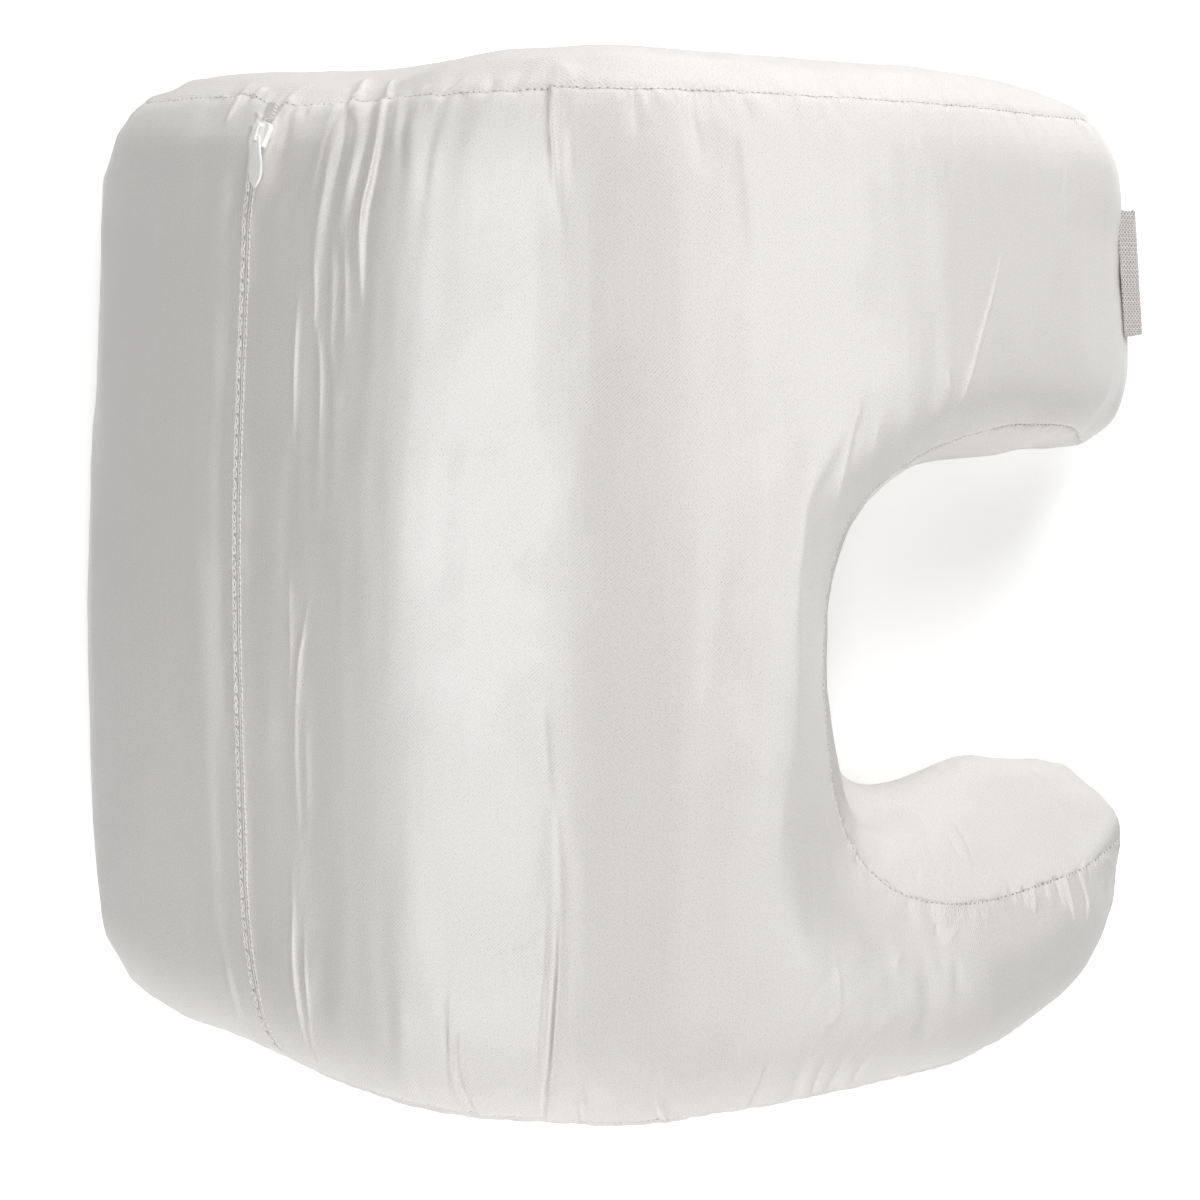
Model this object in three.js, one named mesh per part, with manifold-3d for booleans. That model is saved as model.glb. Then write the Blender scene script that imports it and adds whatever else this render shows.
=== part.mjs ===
// A contoured memory foam pillow in a sewn satin cover, lying on its flat back.
// Millimetres. X runs across the pillow, from the closed side to the two arms of its notch, Y along
// its length, and Z up from the surface that it rests on. The origin is under the middle of it.

import * as THREE from 'three';
import Module from 'manifold-3d';
import { mergeVertices } from 'three/addons/utils/BufferGeometryUtils.js';

// Foam block, as three cutting templates
const ridgeX = -39;            // the crest line that runs down the face, from the middle
const backLeft = -134;         // flat back, from the crest line to each side
const backRight = 206;
const backRadius = 20;         // lower edge of both side walls
const upperEnd = 165;          // planes where the two end panels are sewn in
const lowerEnd = -167;

// Height of the face over the back, across the pillow, from the arms' ends to the closed side
const faceRows = [
  { x: 225, z: 20 },
  { x: 220, z: 42 },
  { x: 204, z: 62 },
  { x: 173, z: 88 },
  { x: 137, z: 115 },
  { x: 92, z: 138 },
  { x: 35, z: 153 },
  { x: 0, z: 149 },
  { x: -40, z: 128 },
  { x: -68, z: 103 },
  { x: -98, z: 74 },
  { x: -128, z: 44 },
  { x: -146, z: 22 },
];

// Ends of the pillow seen from the face, past both side walls:
// where each corner's curve starts, turns and ends
const endCorners = {
  lowerRight: [{ x: 152, y: lowerEnd }, { x: 248, y: lowerEnd }, { x: 248, y: -79 }],
  upperRight: [{ x: 251, y: 112 }, { x: 251, y: upperEnd }, { x: 136, y: upperEnd }],
  upperLeft: [{ x: -100, y: upperEnd }, { x: -180, y: upperEnd }, { x: -180, y: 110 }],
  lowerLeft: [{ x: -180, y: -108 }, { x: -174, y: -162 }, { x: -110, y: -162 }],
  lowerMiddle: [{ x: -92, y: -163 }, { x: -68, y: lowerEnd }, { x: -20, y: lowerEnd }],
};
const taper = 0.0002;          // the pillow is a little wider towards its lower end
const taperMiddle = 13;

// Notch between the arms, seen from the face
const notchMouth = 300;        // the template runs out past the arms
const armTip = 220;            // the lips widen up to here, from the crest line
const lipLength = 40;
const notchFloor = 84;         // closed end of the notch, from the crest line
const notchUpper = 55;
const notchLower = -116;
const notchUpperLip = 45;
const notchLowerLip = -95;
const notchUpperRadius = { x: 84, y: 66 };
const notchLowerRadius = { x: 56, y: 50 };

// What filling does to the sewn panels
const endSwell = { upper: 11, lower: 9 };
const notchSwell = { upper: 16, corner: 30, lower: 58 };
const swellDepth = 76;         // a panel is at its fullest this far in from its seams
const endRounding = { upper: 25, lower: 34 };
const notchRounding = { upper: 20, lower: 26 };
const bandSwell = 8;           // the band bellies out between its two end seams

// Stretches over which one end's swell and rounding turn into the other's
const middleBlend = { from: -60, to: 60 };                           // along the pillow
const armBlend = { from: notchLower + 10, to: -20 };                 // across the notch
const plumpBlend = { from: notchFloor + 5, to: notchFloor + 68 };    // along the lower arm, from the crest
const bellyBlend = { from: 0, to: 2 * backRadius };                  // up the side walls

// Concealed zip along the closed side: where its slider lies and which way the seam runs there
const zip = { x: -85.1, y: 147, leanX: 0.3, leanY: 0.95 };
const slider = {
  length: 8,
  head: 6.2,
  foot: 4.6,
  body: 2.1,
  bridge: { width: 1.5, length: 6, post: 1.1, top: 4.5, thickness: 0.9 },
};
const pull = {
  length: 17,
  neck: 3.2,
  width: 5.6,
  eye: { x: 1.9, y: 1.7 },
  thickness: 0.9,
  lift: 0.4,
  drop: 0.1,
  swing: 0.26,
};
const coil = { length: 6, width: 4.6, pitch: 1.2, thickness: 1.3, gap: 0.5 };
const pieceLift = 1;           // sewn-on pieces stand this far off the foam's surface

// Elastic tape on the end wall of the upper arm
const tape = { from: 82, to: 127, bottom: 8, top: 50, thickness: 2.6, clear: 1.9, arch: 1.2, splay: 0.1 };
const tapeEdge = 0.6;

// How finely the solids are faceted
const netCell = 11;
const relaxRounds = 5;
const outlineSteps = 10;

const lerp = THREE.MathUtils.lerp;

function blend(value, { from, to }) {
  return THREE.MathUtils.smoothstep(value, from, to);
}

// Template outlines, as points of a closed loop
function bandTemplate() {
  const shape = new THREE.Shape();
  const right = faceRows[0];
  const left = faceRows[faceRows.length - 1];
  shape.moveTo(ridgeX + backLeft, 0);
  shape.lineTo(ridgeX + backRight, 0);
  shape.quadraticCurveTo(ridgeX + right.x, 0, ridgeX + right.x, backRadius);
  shape.splineThru(faceRows.map((row) => new THREE.Vector2(ridgeX + row.x, row.z)));
  shape.lineTo(ridgeX + left.x, backRadius);
  shape.quadraticCurveTo(ridgeX + left.x, 0, ridgeX + backLeft, 0);
  return shape.getPoints(outlineSteps);
}

function endTemplate() {
  const shape = new THREE.Shape();
  const corners = Object.values(endCorners);
  shape.moveTo(ridgeX + corners[0][0].x, corners[0][0].y);
  corners.forEach(([from, turn, to]) => {
    shape.lineTo(ridgeX + from.x, from.y);
    shape.quadraticCurveTo(ridgeX + turn.x, turn.y, ridgeX + to.x, to.y);
  });
  return shape.getPoints(outlineSteps);
}

function notchTemplate() {
  const shape = new THREE.Shape();
  const floor = ridgeX + notchFloor;
  const tip = ridgeX + armTip;
  shape.moveTo(notchMouth, notchUpperLip);
  shape.lineTo(tip, notchUpperLip);
  shape.lineTo(floor + notchUpperRadius.x, notchUpper);
  shape.quadraticCurveTo(floor, notchUpper, floor, notchUpper - notchUpperRadius.y);
  shape.lineTo(floor, notchLower + notchLowerRadius.y);
  shape.quadraticCurveTo(floor, notchLower, floor + notchLowerRadius.x, notchLower);
  shape.quadraticCurveTo(tip - lipLength, notchLower, tip, notchLowerLip);
  shape.lineTo(notchMouth, notchLowerLip);
  return shape.getPoints(outlineSteps);
}

// Distance from a point to a template's outline, negative inside it
function outlineDistance(points, x, y) {
  let nearest = Infinity;
  let inside = false;
  for (let i = 0, j = points.length - 1; i < points.length; j = i, i += 1) {
    const a = points[j];
    const b = points[i];
    const dx = b.x - a.x;
    const dy = b.y - a.y;
    const length = dx * dx + dy * dy || 1;
    const t = THREE.MathUtils.clamp(((x - a.x) * dx + (y - a.y) * dy) / length, 0, 1);
    nearest = Math.min(nearest, Math.hypot(x - a.x - t * dx, y - a.y - t * dy));
    if (a.y > y !== b.y > y && x < a.x + ((y - a.y) / dy) * dx) {
      inside = !inside;
    }
  }
  return inside ? -nearest : nearest;
}

const bandOutline = bandTemplate();
const endOutline = endTemplate();
const notchOutline = notchTemplate();

// Two cut faces that meet in a round edge
function roundEdge(a, b, radius) {
  const u = a + radius;
  const v = b + radius;
  return u > 0 && v > 0 ? Math.hypot(u, v) - radius : Math.max(a, b);
}

// How full a sewn panel is, from 0 at its seams to 1 in the middle
function fullness(depth) {
  const t = THREE.MathUtils.clamp(1 - depth / swellDepth, 0, 1);
  return 1 - t * t;
}

// The filled pillow as a field, negative inside
function pillowField(wideX, y, z) {
  const x = wideX + taper * y * (wideX - ridgeX - taperMiddle);
  const upperHalf = blend(y, middleBlend);
  const upperArm = blend(y, armBlend);
  const lowerArm = blend(x - ridgeX, plumpBlend);
  const wall = outlineDistance(bandOutline, x, z);
  const full = fullness(-wall);
  const along = blend(y, { from: lowerEnd, to: upperEnd });
  const belly = bandSwell * Math.sin(Math.PI * along) * blend(z, bellyBlend);
  const endPush = full * lerp(endSwell.lower, endSwell.upper, upperHalf);
  const endPanel = outlineDistance(endOutline, x, y) - endPush;
  const lowerSwell = lerp(notchSwell.corner, notchSwell.lower, lowerArm);
  const notchPush = full * lerp(lowerSwell, notchSwell.upper, upperArm);
  const notchPanel = -outlineDistance(notchOutline, x, y) - notchPush;
  const sewnBlock = roundEdge(wall - belly, endPanel, lerp(endRounding.lower, endRounding.upper, upperHalf));
  return roundEdge(sewnBlock, notchPanel, lerp(notchRounding.lower, notchRounding.upper, upperArm));
}

// A closed surface where a field is zero: a vertex in each cell that the surface crosses, moved on to it
function netSurface(field, box, cell) {
  const size = box.getSize(new THREE.Vector3());
  const count = [size.x, size.y, size.z].map((length) => Math.ceil(length / cell) + 1);
  const at = (i, j, k) => (k * count[1] + j) * count[0] + i;
  const place = (i, j, k) => new THREE.Vector3(i, j, k).multiplyScalar(cell).add(box.min);
  const values = new Float64Array(count[0] * count[1] * count[2]);
  for (let k = 0; k < count[2]; k += 1) {
    for (let j = 0; j < count[1]; j += 1) {
      for (let i = 0; i < count[0]; i += 1) {
        const p = place(i, j, k);
        values[at(i, j, k)] = field(p.x, p.y, p.z);
      }
    }
  }

  const vertices = [];
  const vertexOf = new Map();
  const corners = [];
  for (let n = 0; n < 8; n += 1) {
    corners.push([n & 1, (n >> 1) & 1, (n >> 2) & 1]);
  }
  const isEdge = (a, b) => a.reduce((sum, v, axis) => sum + Math.abs(v - b[axis]), 0) === 1;
  for (let k = 0; k + 1 < count[2]; k += 1) {
    for (let j = 0; j + 1 < count[1]; j += 1) {
      for (let i = 0; i + 1 < count[0]; i += 1) {
        const middle = new THREE.Vector3();
        let crossings = 0;
        for (let m = 0; m < corners.length; m += 1) {
          for (let n = m + 1; n < corners.length; n += 1) {
            const a = corners[m];
            const b = corners[n];
            const va = values[at(i + a[0], j + a[1], k + a[2])];
            const vb = values[at(i + b[0], j + b[1], k + b[2])];
            if (isEdge(a, b) && va < 0 !== vb < 0) {
              const from = place(i + a[0], j + a[1], k + a[2]);
              middle.add(from.lerp(place(i + b[0], j + b[1], k + b[2]), va / (va - vb)));
              crossings += 1;
            }
          }
        }
        if (crossings > 0) {
          vertexOf.set(at(i, j, k), vertices.length);
          vertices.push(ontoSurface(field, middle.divideScalar(crossings)));
        }
      }
    }
  }

  const triangles = [];
  const steps = [[1, 0, 0], [0, 1, 0], [0, 0, 1]];
  for (let k = 1; k + 1 < count[2]; k += 1) {
    for (let j = 1; j + 1 < count[1]; j += 1) {
      for (let i = 1; i + 1 < count[0]; i += 1) {
        steps.forEach((step, axis) => {
          const here = values[at(i, j, k)] < 0;
          const there = values[at(i + step[0], j + step[1], k + step[2])] < 0;
          if (here === there) {
            return;
          }
          const u = steps[(axis + 1) % 3];
          const v = steps[(axis + 2) % 3];
          const cellAt = (a, b) => vertexOf.get(
            at(i - a * u[0] - b * v[0], j - a * u[1] - b * v[1], k - a * u[2] - b * v[2]),
          );
          const loop = [cellAt(1, 1), cellAt(0, 1), cellAt(0, 0), cellAt(1, 0)];
          const [p, q, r, s] = here ? loop : loop.reverse();
          triangles.push(p, q, r, p, r, s);
        });
      }
    }
  }

  relax(vertices, triangles, field);
  const geometry = new THREE.BufferGeometry();
  const coordinates = vertices.flatMap((v) => v.toArray());
  geometry.setAttribute('position', new THREE.Float32BufferAttribute(coordinates, 3));
  geometry.setIndex(triangles);
  geometry.computeVertexNormals();
  return geometry;
}

// Moves a point down or up a field's slope, in a few turns, to where the field is zero
function ontoSurface(field, point) {
  const turns = 4;
  const step = 0.5;
  const flatEnough = 0.05;
  for (let turn = 0; turn < turns; turn += 1) {
    const { x, y, z } = point;
    const value = field(x, y, z);
    const slope = new THREE.Vector3(
      field(x + step, y, z) - field(x - step, y, z),
      field(x, y + step, z) - field(x, y - step, z),
      field(x, y, z + step) - field(x, y, z - step),
    ).divideScalar(2 * step);
    point.addScaledVector(slope, -value / Math.max(slope.lengthSq(), flatEnough));
  }
  if (Math.abs(point.z) < flatEnough) {
    point.z = 0;
  }
  return point;
}

// Evens out the spacing of a surface's vertices, each of them kept on the surface
function relax(vertices, triangles, field) {
  const share = 0.6;
  for (let round = 0; round < relaxRounds; round += 1) {
    const sums = vertices.map(() => new THREE.Vector3());
    const counts = vertices.map(() => 0);
    triangles.forEach((vertex, n) => {
      const next = triangles[n % 3 === 2 ? n - 2 : n + 1];
      sums[vertex].add(vertices[next]);
      counts[vertex] += 1;
    });
    vertices.forEach((vertex, n) => vertex.lerp(sums[n].divideScalar(counts[n]), share));
    vertices.forEach((vertex) => ontoSurface(field, vertex));
  }
}

const satin = new THREE.MeshStandardMaterial({ color: 0xdedad7, roughness: 0.4, metalness: 0 });
const enamel = new THREE.MeshStandardMaterial({ color: 0xe9e6e2, roughness: 0.35, metalness: 0.1 });
const nylon = new THREE.MeshStandardMaterial({ color: 0xdfdcd8, roughness: 0.6, metalness: 0 });
const knit = new THREE.MeshStandardMaterial({ color: 0xd9d4ce, roughness: 0.85, metalness: 0 });

function pillow() {
  const margin = 2.5 * netCell;
  const points = [...bandOutline.map(({ x, y }) => new THREE.Vector3(x, 0, y))];
  points.push(...endOutline.map(({ y }) => new THREE.Vector3(0, y, 0)));
  const box = new THREE.Box3().setFromPoints(points).expandByScalar(margin);
  return new THREE.Mesh(netSurface(pillowField, box, netCell), satin);
}

// Where a line from inside the pillow to outside it meets the surface
function crossing(inside, outside) {
  const halvings = 40;
  const low = inside.clone();
  const high = outside.clone();
  for (let turn = 0; turn < halvings; turn += 1) {
    const middle = low.clone().lerp(high, 0.5);
    const end = pillowField(middle.x, middle.y, middle.z) < 0 ? low : high;
    end.copy(middle);
  }
  return low;
}

function facePoint(x, y) {
  return crossing(new THREE.Vector3(x, y, 2 * backRadius), new THREE.Vector3(x, y, 10 * backRadius));
}

function endWallPoint(y, z) {
  const inside = new THREE.Vector3(ridgeX + notchFloor + notchUpperRadius.x, y, z);
  return crossing(inside, new THREE.Vector3(notchMouth, y, z));
}

// Lays a piece on the face: its own Y along the zip's seam, its own Z off the surface
function layOnSeam(piece, x, y) {
  const step = 2;
  const across = facePoint(x + step, y).sub(facePoint(x - step, y));
  const along = facePoint(x, y + step).sub(facePoint(x, y - step));
  const normal = across.clone().cross(along).normalize();
  const direction = across.multiplyScalar(zip.leanX).addScaledVector(along, zip.leanY).normalize();
  const side = direction.clone().cross(normal).normalize();
  piece.quaternion.setFromRotationMatrix(new THREE.Matrix4().makeBasis(side, direction, normal));
  piece.position.copy(facePoint(x, y).addScaledVector(normal, pieceLift));
  return piece;
}

// Joins and cuts of closed meshes
const wasm = await Module();
wasm.setup();

function solid(geometry) {
  const bare = geometry.clone();
  bare.deleteAttribute('normal');
  bare.deleteAttribute('uv');
  const merged = mergeVertices(bare, 1e-4);
  return new wasm.Manifold(new wasm.Mesh({
    numProp: 3,
    vertProperties: new Float32Array(merged.attributes.position.array),
    triVerts: new Uint32Array(merged.index.array),
  }));
}

function geometryOf(body) {
  const { vertProperties, triVerts } = body.getMesh();
  const geometry = new THREE.BufferGeometry();
  geometry.setAttribute('position', new THREE.BufferAttribute(vertProperties, 3));
  geometry.setIndex(new THREE.BufferAttribute(triVerts, 1));
  geometry.computeVertexNormals();
  return geometry;
}

function slab(shape, bottom, top, bevel) {
  const geometry = new THREE.ExtrudeGeometry(shape, {
    depth: top - bottom - 2 * bevel,
    bevelThickness: bevel,
    bevelSize: bevel,
    bevelOffset: -bevel,
    bevelSegments: 1,
    curveSegments: outlineSteps / 2,
  });
  return geometry.translate(0, 0, bottom + bevel);
}

function roundedBox(width, length) {
  const shape = new THREE.Shape();
  const corner = 0.25 * Math.min(width, length);
  const x = width / 2 - corner;
  const y = length / 2 - corner;
  shape.absarc(x, y, corner, 0, Math.PI / 2);
  shape.absarc(-x, y, corner, Math.PI / 2, Math.PI);
  shape.absarc(-x, -y, corner, Math.PI, 1.5 * Math.PI);
  shape.absarc(x, -y, corner, 1.5 * Math.PI, 2 * Math.PI);
  return shape;
}

// Slider of the concealed zip: a tapered body under a bridge that holds the pull
function zipSlider() {
  const { length, head, foot, body, bridge } = slider;
  const outline = new THREE.Shape();
  outline.moveTo(-foot / 2, -length / 2);
  outline.lineTo(foot / 2, -length / 2);
  outline.lineTo(head / 2, length / 4);
  outline.quadraticCurveTo(head / 2, length / 2, 0, length / 2);
  outline.quadraticCurveTo(-head / 2, length / 2, -head / 2, length / 4);
  const bar = roundedBox(bridge.width, bridge.length);
  const post = slab(roundedBox(bridge.width, bridge.post), body / 2, bridge.top - bridge.thickness / 2, 0);
  const reach = (bridge.length - bridge.post) / 2;
  const joined = solid(slab(outline, 0, body, 0.3))
    .add(solid(slab(bar, bridge.top - bridge.thickness, bridge.top, 0.2)))
    .add(solid(post.clone().translate(0, reach, 0)))
    .add(solid(post.clone().translate(0, -reach, 0)));
  return new THREE.Mesh(geometryOf(joined), enamel);
}

// Teardrop pull, its eye round the bridge's lower post
function zipPull() {
  const { length, neck, width, eye, thickness } = pull;
  const outline = new THREE.Shape();
  const waist = -0.3 * length;
  const widest = -0.58 * length;
  const shoulder = -0.82 * length;
  outline.absarc(0, 0, neck / 2, 0, Math.PI);
  outline.bezierCurveTo(-neck / 2, waist, -width / 2, waist, -width / 2, widest);
  outline.quadraticCurveTo(-width / 2, shoulder, 0, -length + neck / 2);
  outline.quadraticCurveTo(width / 2, shoulder, width / 2, widest);
  outline.bezierCurveTo(width / 2, waist, neck / 2, waist, neck / 2, 0);
  const hole = new THREE.Path();
  hole.absellipse(0, 0, eye.x / 2, eye.y / 2, 0, 2 * Math.PI, true);
  outline.holes.push(hole);
  return new THREE.Mesh(slab(outline, 0, thickness, 0.2), enamel);
}

// Stub of the zip's coil that shows above the slider
function zipCoil() {
  const { length, width, pitch, thickness } = coil;
  const outline = new THREE.Shape();
  const turns = Math.round(length / pitch);
  const bulge = pitch / 2;
  const valley = width / 2 - bulge;
  const peak = width / 2 + bulge;
  outline.moveTo(valley, 0);
  for (let turn = 0; turn < turns; turn += 1) {
    outline.quadraticCurveTo(peak, (turn + 0.5) * pitch, valley, (turn + 1) * pitch);
  }
  outline.lineTo(-valley, turns * pitch);
  for (let turn = turns; turn > 0; turn -= 1) {
    outline.quadraticCurveTo(-peak, (turn - 0.5) * pitch, -valley, (turn - 1) * pitch);
  }
  return new THREE.Mesh(slab(outline, 0, thickness, 0.2), nylon);
}

// Knitted elastic tape, sewn flat to the end of the upper arm and arched a little off it
function elasticTape() {
  const { from, to, bottom, top, thickness, clear, arch, splay } = tape;
  const middle = (from + to) / 2;
  const foot = endWallPoint(middle, bottom).x;
  const step = 2;
  const inner = [];
  const outer = [];
  for (let row = 0; row <= outlineSteps; row += 1) {
    const t = row / outlineSteps;
    const z = lerp(bottom, top, t);
    const lean = (endWallPoint(middle, z + step).x - endWallPoint(middle, z - step).x) / (2 * step);
    const normal = new THREE.Vector2(1, -lean).normalize();
    const point = new THREE.Vector2(endWallPoint(middle, z).x - foot, z);
    const gap = clear + arch * Math.sin(Math.PI * t);
    inner.push(point.clone().addScaledVector(normal, gap));
    outer.push(point.addScaledVector(normal, gap + thickness));
  }
  const section = new THREE.Shape([...outer, ...inner.reverse()]);
  const geometry = slab(section, (from - to) / 2, (to - from) / 2, tapeEdge);
  const mesh = new THREE.Mesh(geometry.rotateX(Math.PI / 2), knit);
  mesh.position.set(foot, middle, 0);
  mesh.rotation.z = splay;
  return mesh;
}

function named(name, mesh) {
  mesh.name = name;
  return mesh;
}

// The slider and its pull, and the stub of coil above them
function zipPieces() {
  const x = ridgeX + zip.x;
  const hanging = zipPull();
  hanging.rotation.set(pull.drop, 0, pull.swing);
  hanging.position.set(0, (slider.bridge.post - slider.bridge.length) / 2, slider.body + pull.lift);
  const runner = new THREE.Group();
  runner.add(named('zip_slider', zipSlider()), named('zip_pull', hanging));
  const above = slider.length / 2 + coil.gap;
  return [
    layOnSeam(runner, x, zip.y),
    layOnSeam(named('zip_coil', zipCoil()), x + above * zip.leanX, zip.y + above),
  ];
}

const part = new THREE.Group();
part.add(named('pillow', pillow()), ...zipPieces(), named('elastic_tape', elasticTape()));

export default part;
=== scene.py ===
"""Contoured foam pillow in a sewn satin cover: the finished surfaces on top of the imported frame."""

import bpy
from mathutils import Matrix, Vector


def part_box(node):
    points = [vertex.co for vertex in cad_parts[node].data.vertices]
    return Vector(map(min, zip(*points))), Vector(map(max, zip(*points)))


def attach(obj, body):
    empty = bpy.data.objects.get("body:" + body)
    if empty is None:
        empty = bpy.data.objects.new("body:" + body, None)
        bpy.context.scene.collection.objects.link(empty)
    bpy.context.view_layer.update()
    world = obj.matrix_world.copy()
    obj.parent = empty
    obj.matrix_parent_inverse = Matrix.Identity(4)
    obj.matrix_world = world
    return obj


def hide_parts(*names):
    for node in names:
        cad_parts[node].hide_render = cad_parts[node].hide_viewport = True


bl_info = {
    "name": "Contoured foam pillow",
    "version": (1, 0, 0),
    "blender": (4, 5, 0),
    "location": "3D View > Sidebar > Foam pillow",
    "description": "Builds a contoured foam pillow in a zipped satin cover, piece by piece",
    "category": "Object",
}

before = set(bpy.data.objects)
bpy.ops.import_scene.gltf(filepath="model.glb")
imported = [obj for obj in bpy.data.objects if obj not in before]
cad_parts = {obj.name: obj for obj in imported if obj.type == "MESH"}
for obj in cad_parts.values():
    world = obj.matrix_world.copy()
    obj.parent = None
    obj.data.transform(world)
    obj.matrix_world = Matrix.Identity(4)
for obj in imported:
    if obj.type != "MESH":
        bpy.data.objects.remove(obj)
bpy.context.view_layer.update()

import math
import random
from collections import namedtuple

import bmesh
import bpy
import numpy as np
from bpy.props import FloatProperty, FloatVectorProperty, PointerProperty
from mathutils import Matrix, Vector, noise
from mathutils.bvhtree import BVHTree
from mathutils.kdtree import KDTree

MM = 0.001
FRAME_PX = 1200
SENSOR = 36.0


# Sizes and colours

def length(name, text, mm):
    return FloatProperty(name=name, description=text, default=mm * MM, min=0, unit="LENGTH", precision=5)


def share(name, text, value, top=1.0):
    return FloatProperty(name=name, description=text, default=value, min=0, max=top)


def tint(name, text, value):
    return FloatVectorProperty(name=name, description=text, default=value, size=3, min=0, max=1, subtype="COLOR")


def amount(name, text, value):
    return FloatProperty(name=name, description=text, default=value)


class CoverSizes(bpy.types.PropertyGroup):
    net: length("Net", "Spacing of the cover's first net of faces", 6.2)
    ease: length("Ease", "How far the cover starts inside the foam before it is filled", 2.2)
    swell: length("Swell", "How far filling may push any point of the cover", 4.0)
    pressure: amount("Pressure", "Pressure inside the cover while it fills", 4.0)
    top_seam: length("Top seam", "Distance of the upper end's seam from the middle", 157.5)
    top_seam_left: length("Top seam, closed side", "The same beyond the zip", 162.0)
    bottom_seam: length("Bottom seam", "Distance of the lower end's seam from the middle", 168.0)
    back_seam: length("Back seam", "Height of the notch panel's rear seam", 15.0)
    groove: length("Groove", "How deep a seam lies in the cover", 0.6)
    groove_width: length("Groove width", "Half the width of a seam's groove", 1.1)
    puff: length("Puff", "How far the cloth stands up beside a seam", 0.2)
    gather: length("Gather", "Depth of the deepest small gathers at a seam", 0.9)
    slack: length("Slack", "Height of the long soft waves in the cover", 0.35)


class SatinLooks(bpy.types.PropertyGroup):
    colour: tint("Colour", "The satin's own colour", (0.82, 0.797, 0.775))
    shade: tint("Shade", "Colour of the weave's shaded threads", (0.7, 0.675, 0.65))
    roughness: share("Roughness", "How far the satin scatters what it mirrors", 0.42)
    sheen: share("Sheen", "Fuzz along the edges of the cloth", 0.0)
    stretch: share("Stretch", "How far the weave draws its highlights out along the pillow", 0.9)
    gloss: share("Gloss", "How strongly the satin mirrors", 0.5)
    twill_depth: amount("Twill depth", "Height of the twill lines in millimetres", 0.022)
    grain_depth: amount("Grain depth", "Height of single threads in millimetres", 0.05)
    # Painted shade along each seam's needle line, darkest at the needle holes
    needle_painted_shade: amount("Needle holes", "How dark the needle holes of a seam are", 2.6)
    crinkle: amount("Crinkle", "Height of the fine crinkles beside a seam in millimetres", 0.35)
    twill: length("Twill", "Distance between two twill lines", 0.82)
    streak_depth: amount("Streak depth", "Height of the long streaks in millimetres", 0.02)
    twill_wander: amount("Twill wander", "How far the twill lines wander in millimetres", 0.9)
    twill_patches: amount("Twill patches", "How much stronger the twill is in some patches", 2.2)
    light: amount("Light", "How light the weave is, from its shade at nothing to its colour at one", 0.8)
    twill_light: amount("Twill light", "How much of its light comes and goes with the twill", 0.5)
    grain_light: amount("Grain light", "How much of it changes from thread to thread", 2.8)
    streak_light: amount("Streak light", "How much of it changes from streak to streak", 0.35)
    twist: length("Thread twist", "Distance between two strands of the sewing thread", 0.4)


# The view from which the creases are traced, and in which the camera stands
SIGHT = {"place": (-0.1143, 0.097, 0.7737), "yaw": math.radians(8), "pitch": math.radians(8.26), "lens": 63.0}


class StageLooks(bpy.types.PropertyGroup):
    lens: amount("Lens", "Focal length of the camera in millimetres", SIGHT["lens"])
    reach: length("Reach", "Distance of the lamps from the pillow", 1300)
    power: amount("Power", "Scales the power of every lamp", 1.0)
    floor_white: share("Floor", "How white the floor is", 0.97)
    floor_glow: share("Floor glow", "Light the floor gives off, as a lit white table does", 0.31)


# Soft boxes: degrees to the right and towards the far end from overhead, width and length in metres, watts, and
# whether the box shows in the satin's gloss or only lights its threads
Lamp = namedtuple("Lamp", "name aside ahead width length watts gloss")

LAMPS = (
    Lamp("overhead", -7, 0, 0.45, 0.45, 6.5, False),
    Lamp("far right", 8, 45, 0.45, 0.45, 5.2, False),
    Lamp("far end", 58, 60, 0.45, 0.45, 7.2, False),
    Lamp("near end", -4, -70, 0.45, 0.45, 9.2, False),
    Lamp("left strip", -51, 0, 0.93, 1.1, 47, True),
    Lamp("right strip", 50, 0, 0.36, 1.1, 20, True),
)

# The point of the pillow that the lamps stand around and face, and half the floor's width in metres
LIT_MIDDLE, HALF_FLOOR = Vector((0, 0, 0.08)), 4


# Mesh helpers

def vectors(items, key):
    """One vector of each item, as the rows of an array."""
    flat = np.empty(len(items) * 3)
    items.foreach_get(key, flat)
    return flat.reshape(-1, 3)


def points_of(mesh):
    return vectors(mesh.vertices, "co")


def normals_of(mesh):
    return vectors(mesh.vertex_normals, "vector")


def move_points(mesh, points):
    mesh.vertices.foreach_set("co", points.ravel())
    mesh.update()


def link(mesh, name):
    piece = bpy.data.objects.new(name, mesh)
    bpy.context.scene.collection.objects.link(piece)
    return piece


def stand_on_floor(mesh, points):
    """Moves the mesh to the points, none of them below the floor."""
    points[:, 2] = np.maximum(points[:, 2], 0)
    move_points(mesh, points)


def settle(piece):
    """Applies the piece's modifiers to its mesh."""
    depsgraph = bpy.context.evaluated_depsgraph_get()
    finished = bpy.data.meshes.new_from_object(piece.evaluated_get(depsgraph))
    old = piece.data
    piece.modifiers.clear()
    piece.data = finished
    bpy.data.meshes.remove(old)


def surface_tree(mesh):
    """Finds places on the mesh's surface."""
    bm = bmesh.new()
    bm.from_mesh(mesh)
    tree = BVHTree.FromBMesh(bm)
    bm.free()
    return tree


def point_tree(points):
    """Finds the nearest of the points."""
    tree = KDTree(len(points))
    for i, p in enumerate(points):
        tree.insert(p, i)
    tree.balance()
    return tree


def run_along(path):
    """Distance from the path's start at each of its points."""
    return np.concatenate(((0,), np.cumsum(np.linalg.norm(np.diff(path, axis=0), axis=1))))


def bell(far, width):
    """One where far is nothing, falling to nothing over a few widths."""
    return np.exp(-(far / width) ** 2)


def smoothstep(low, high, value):
    t = np.clip((value - low) / (high - low), 0, 1)
    return t * t * (3 - 2 * t)


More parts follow.
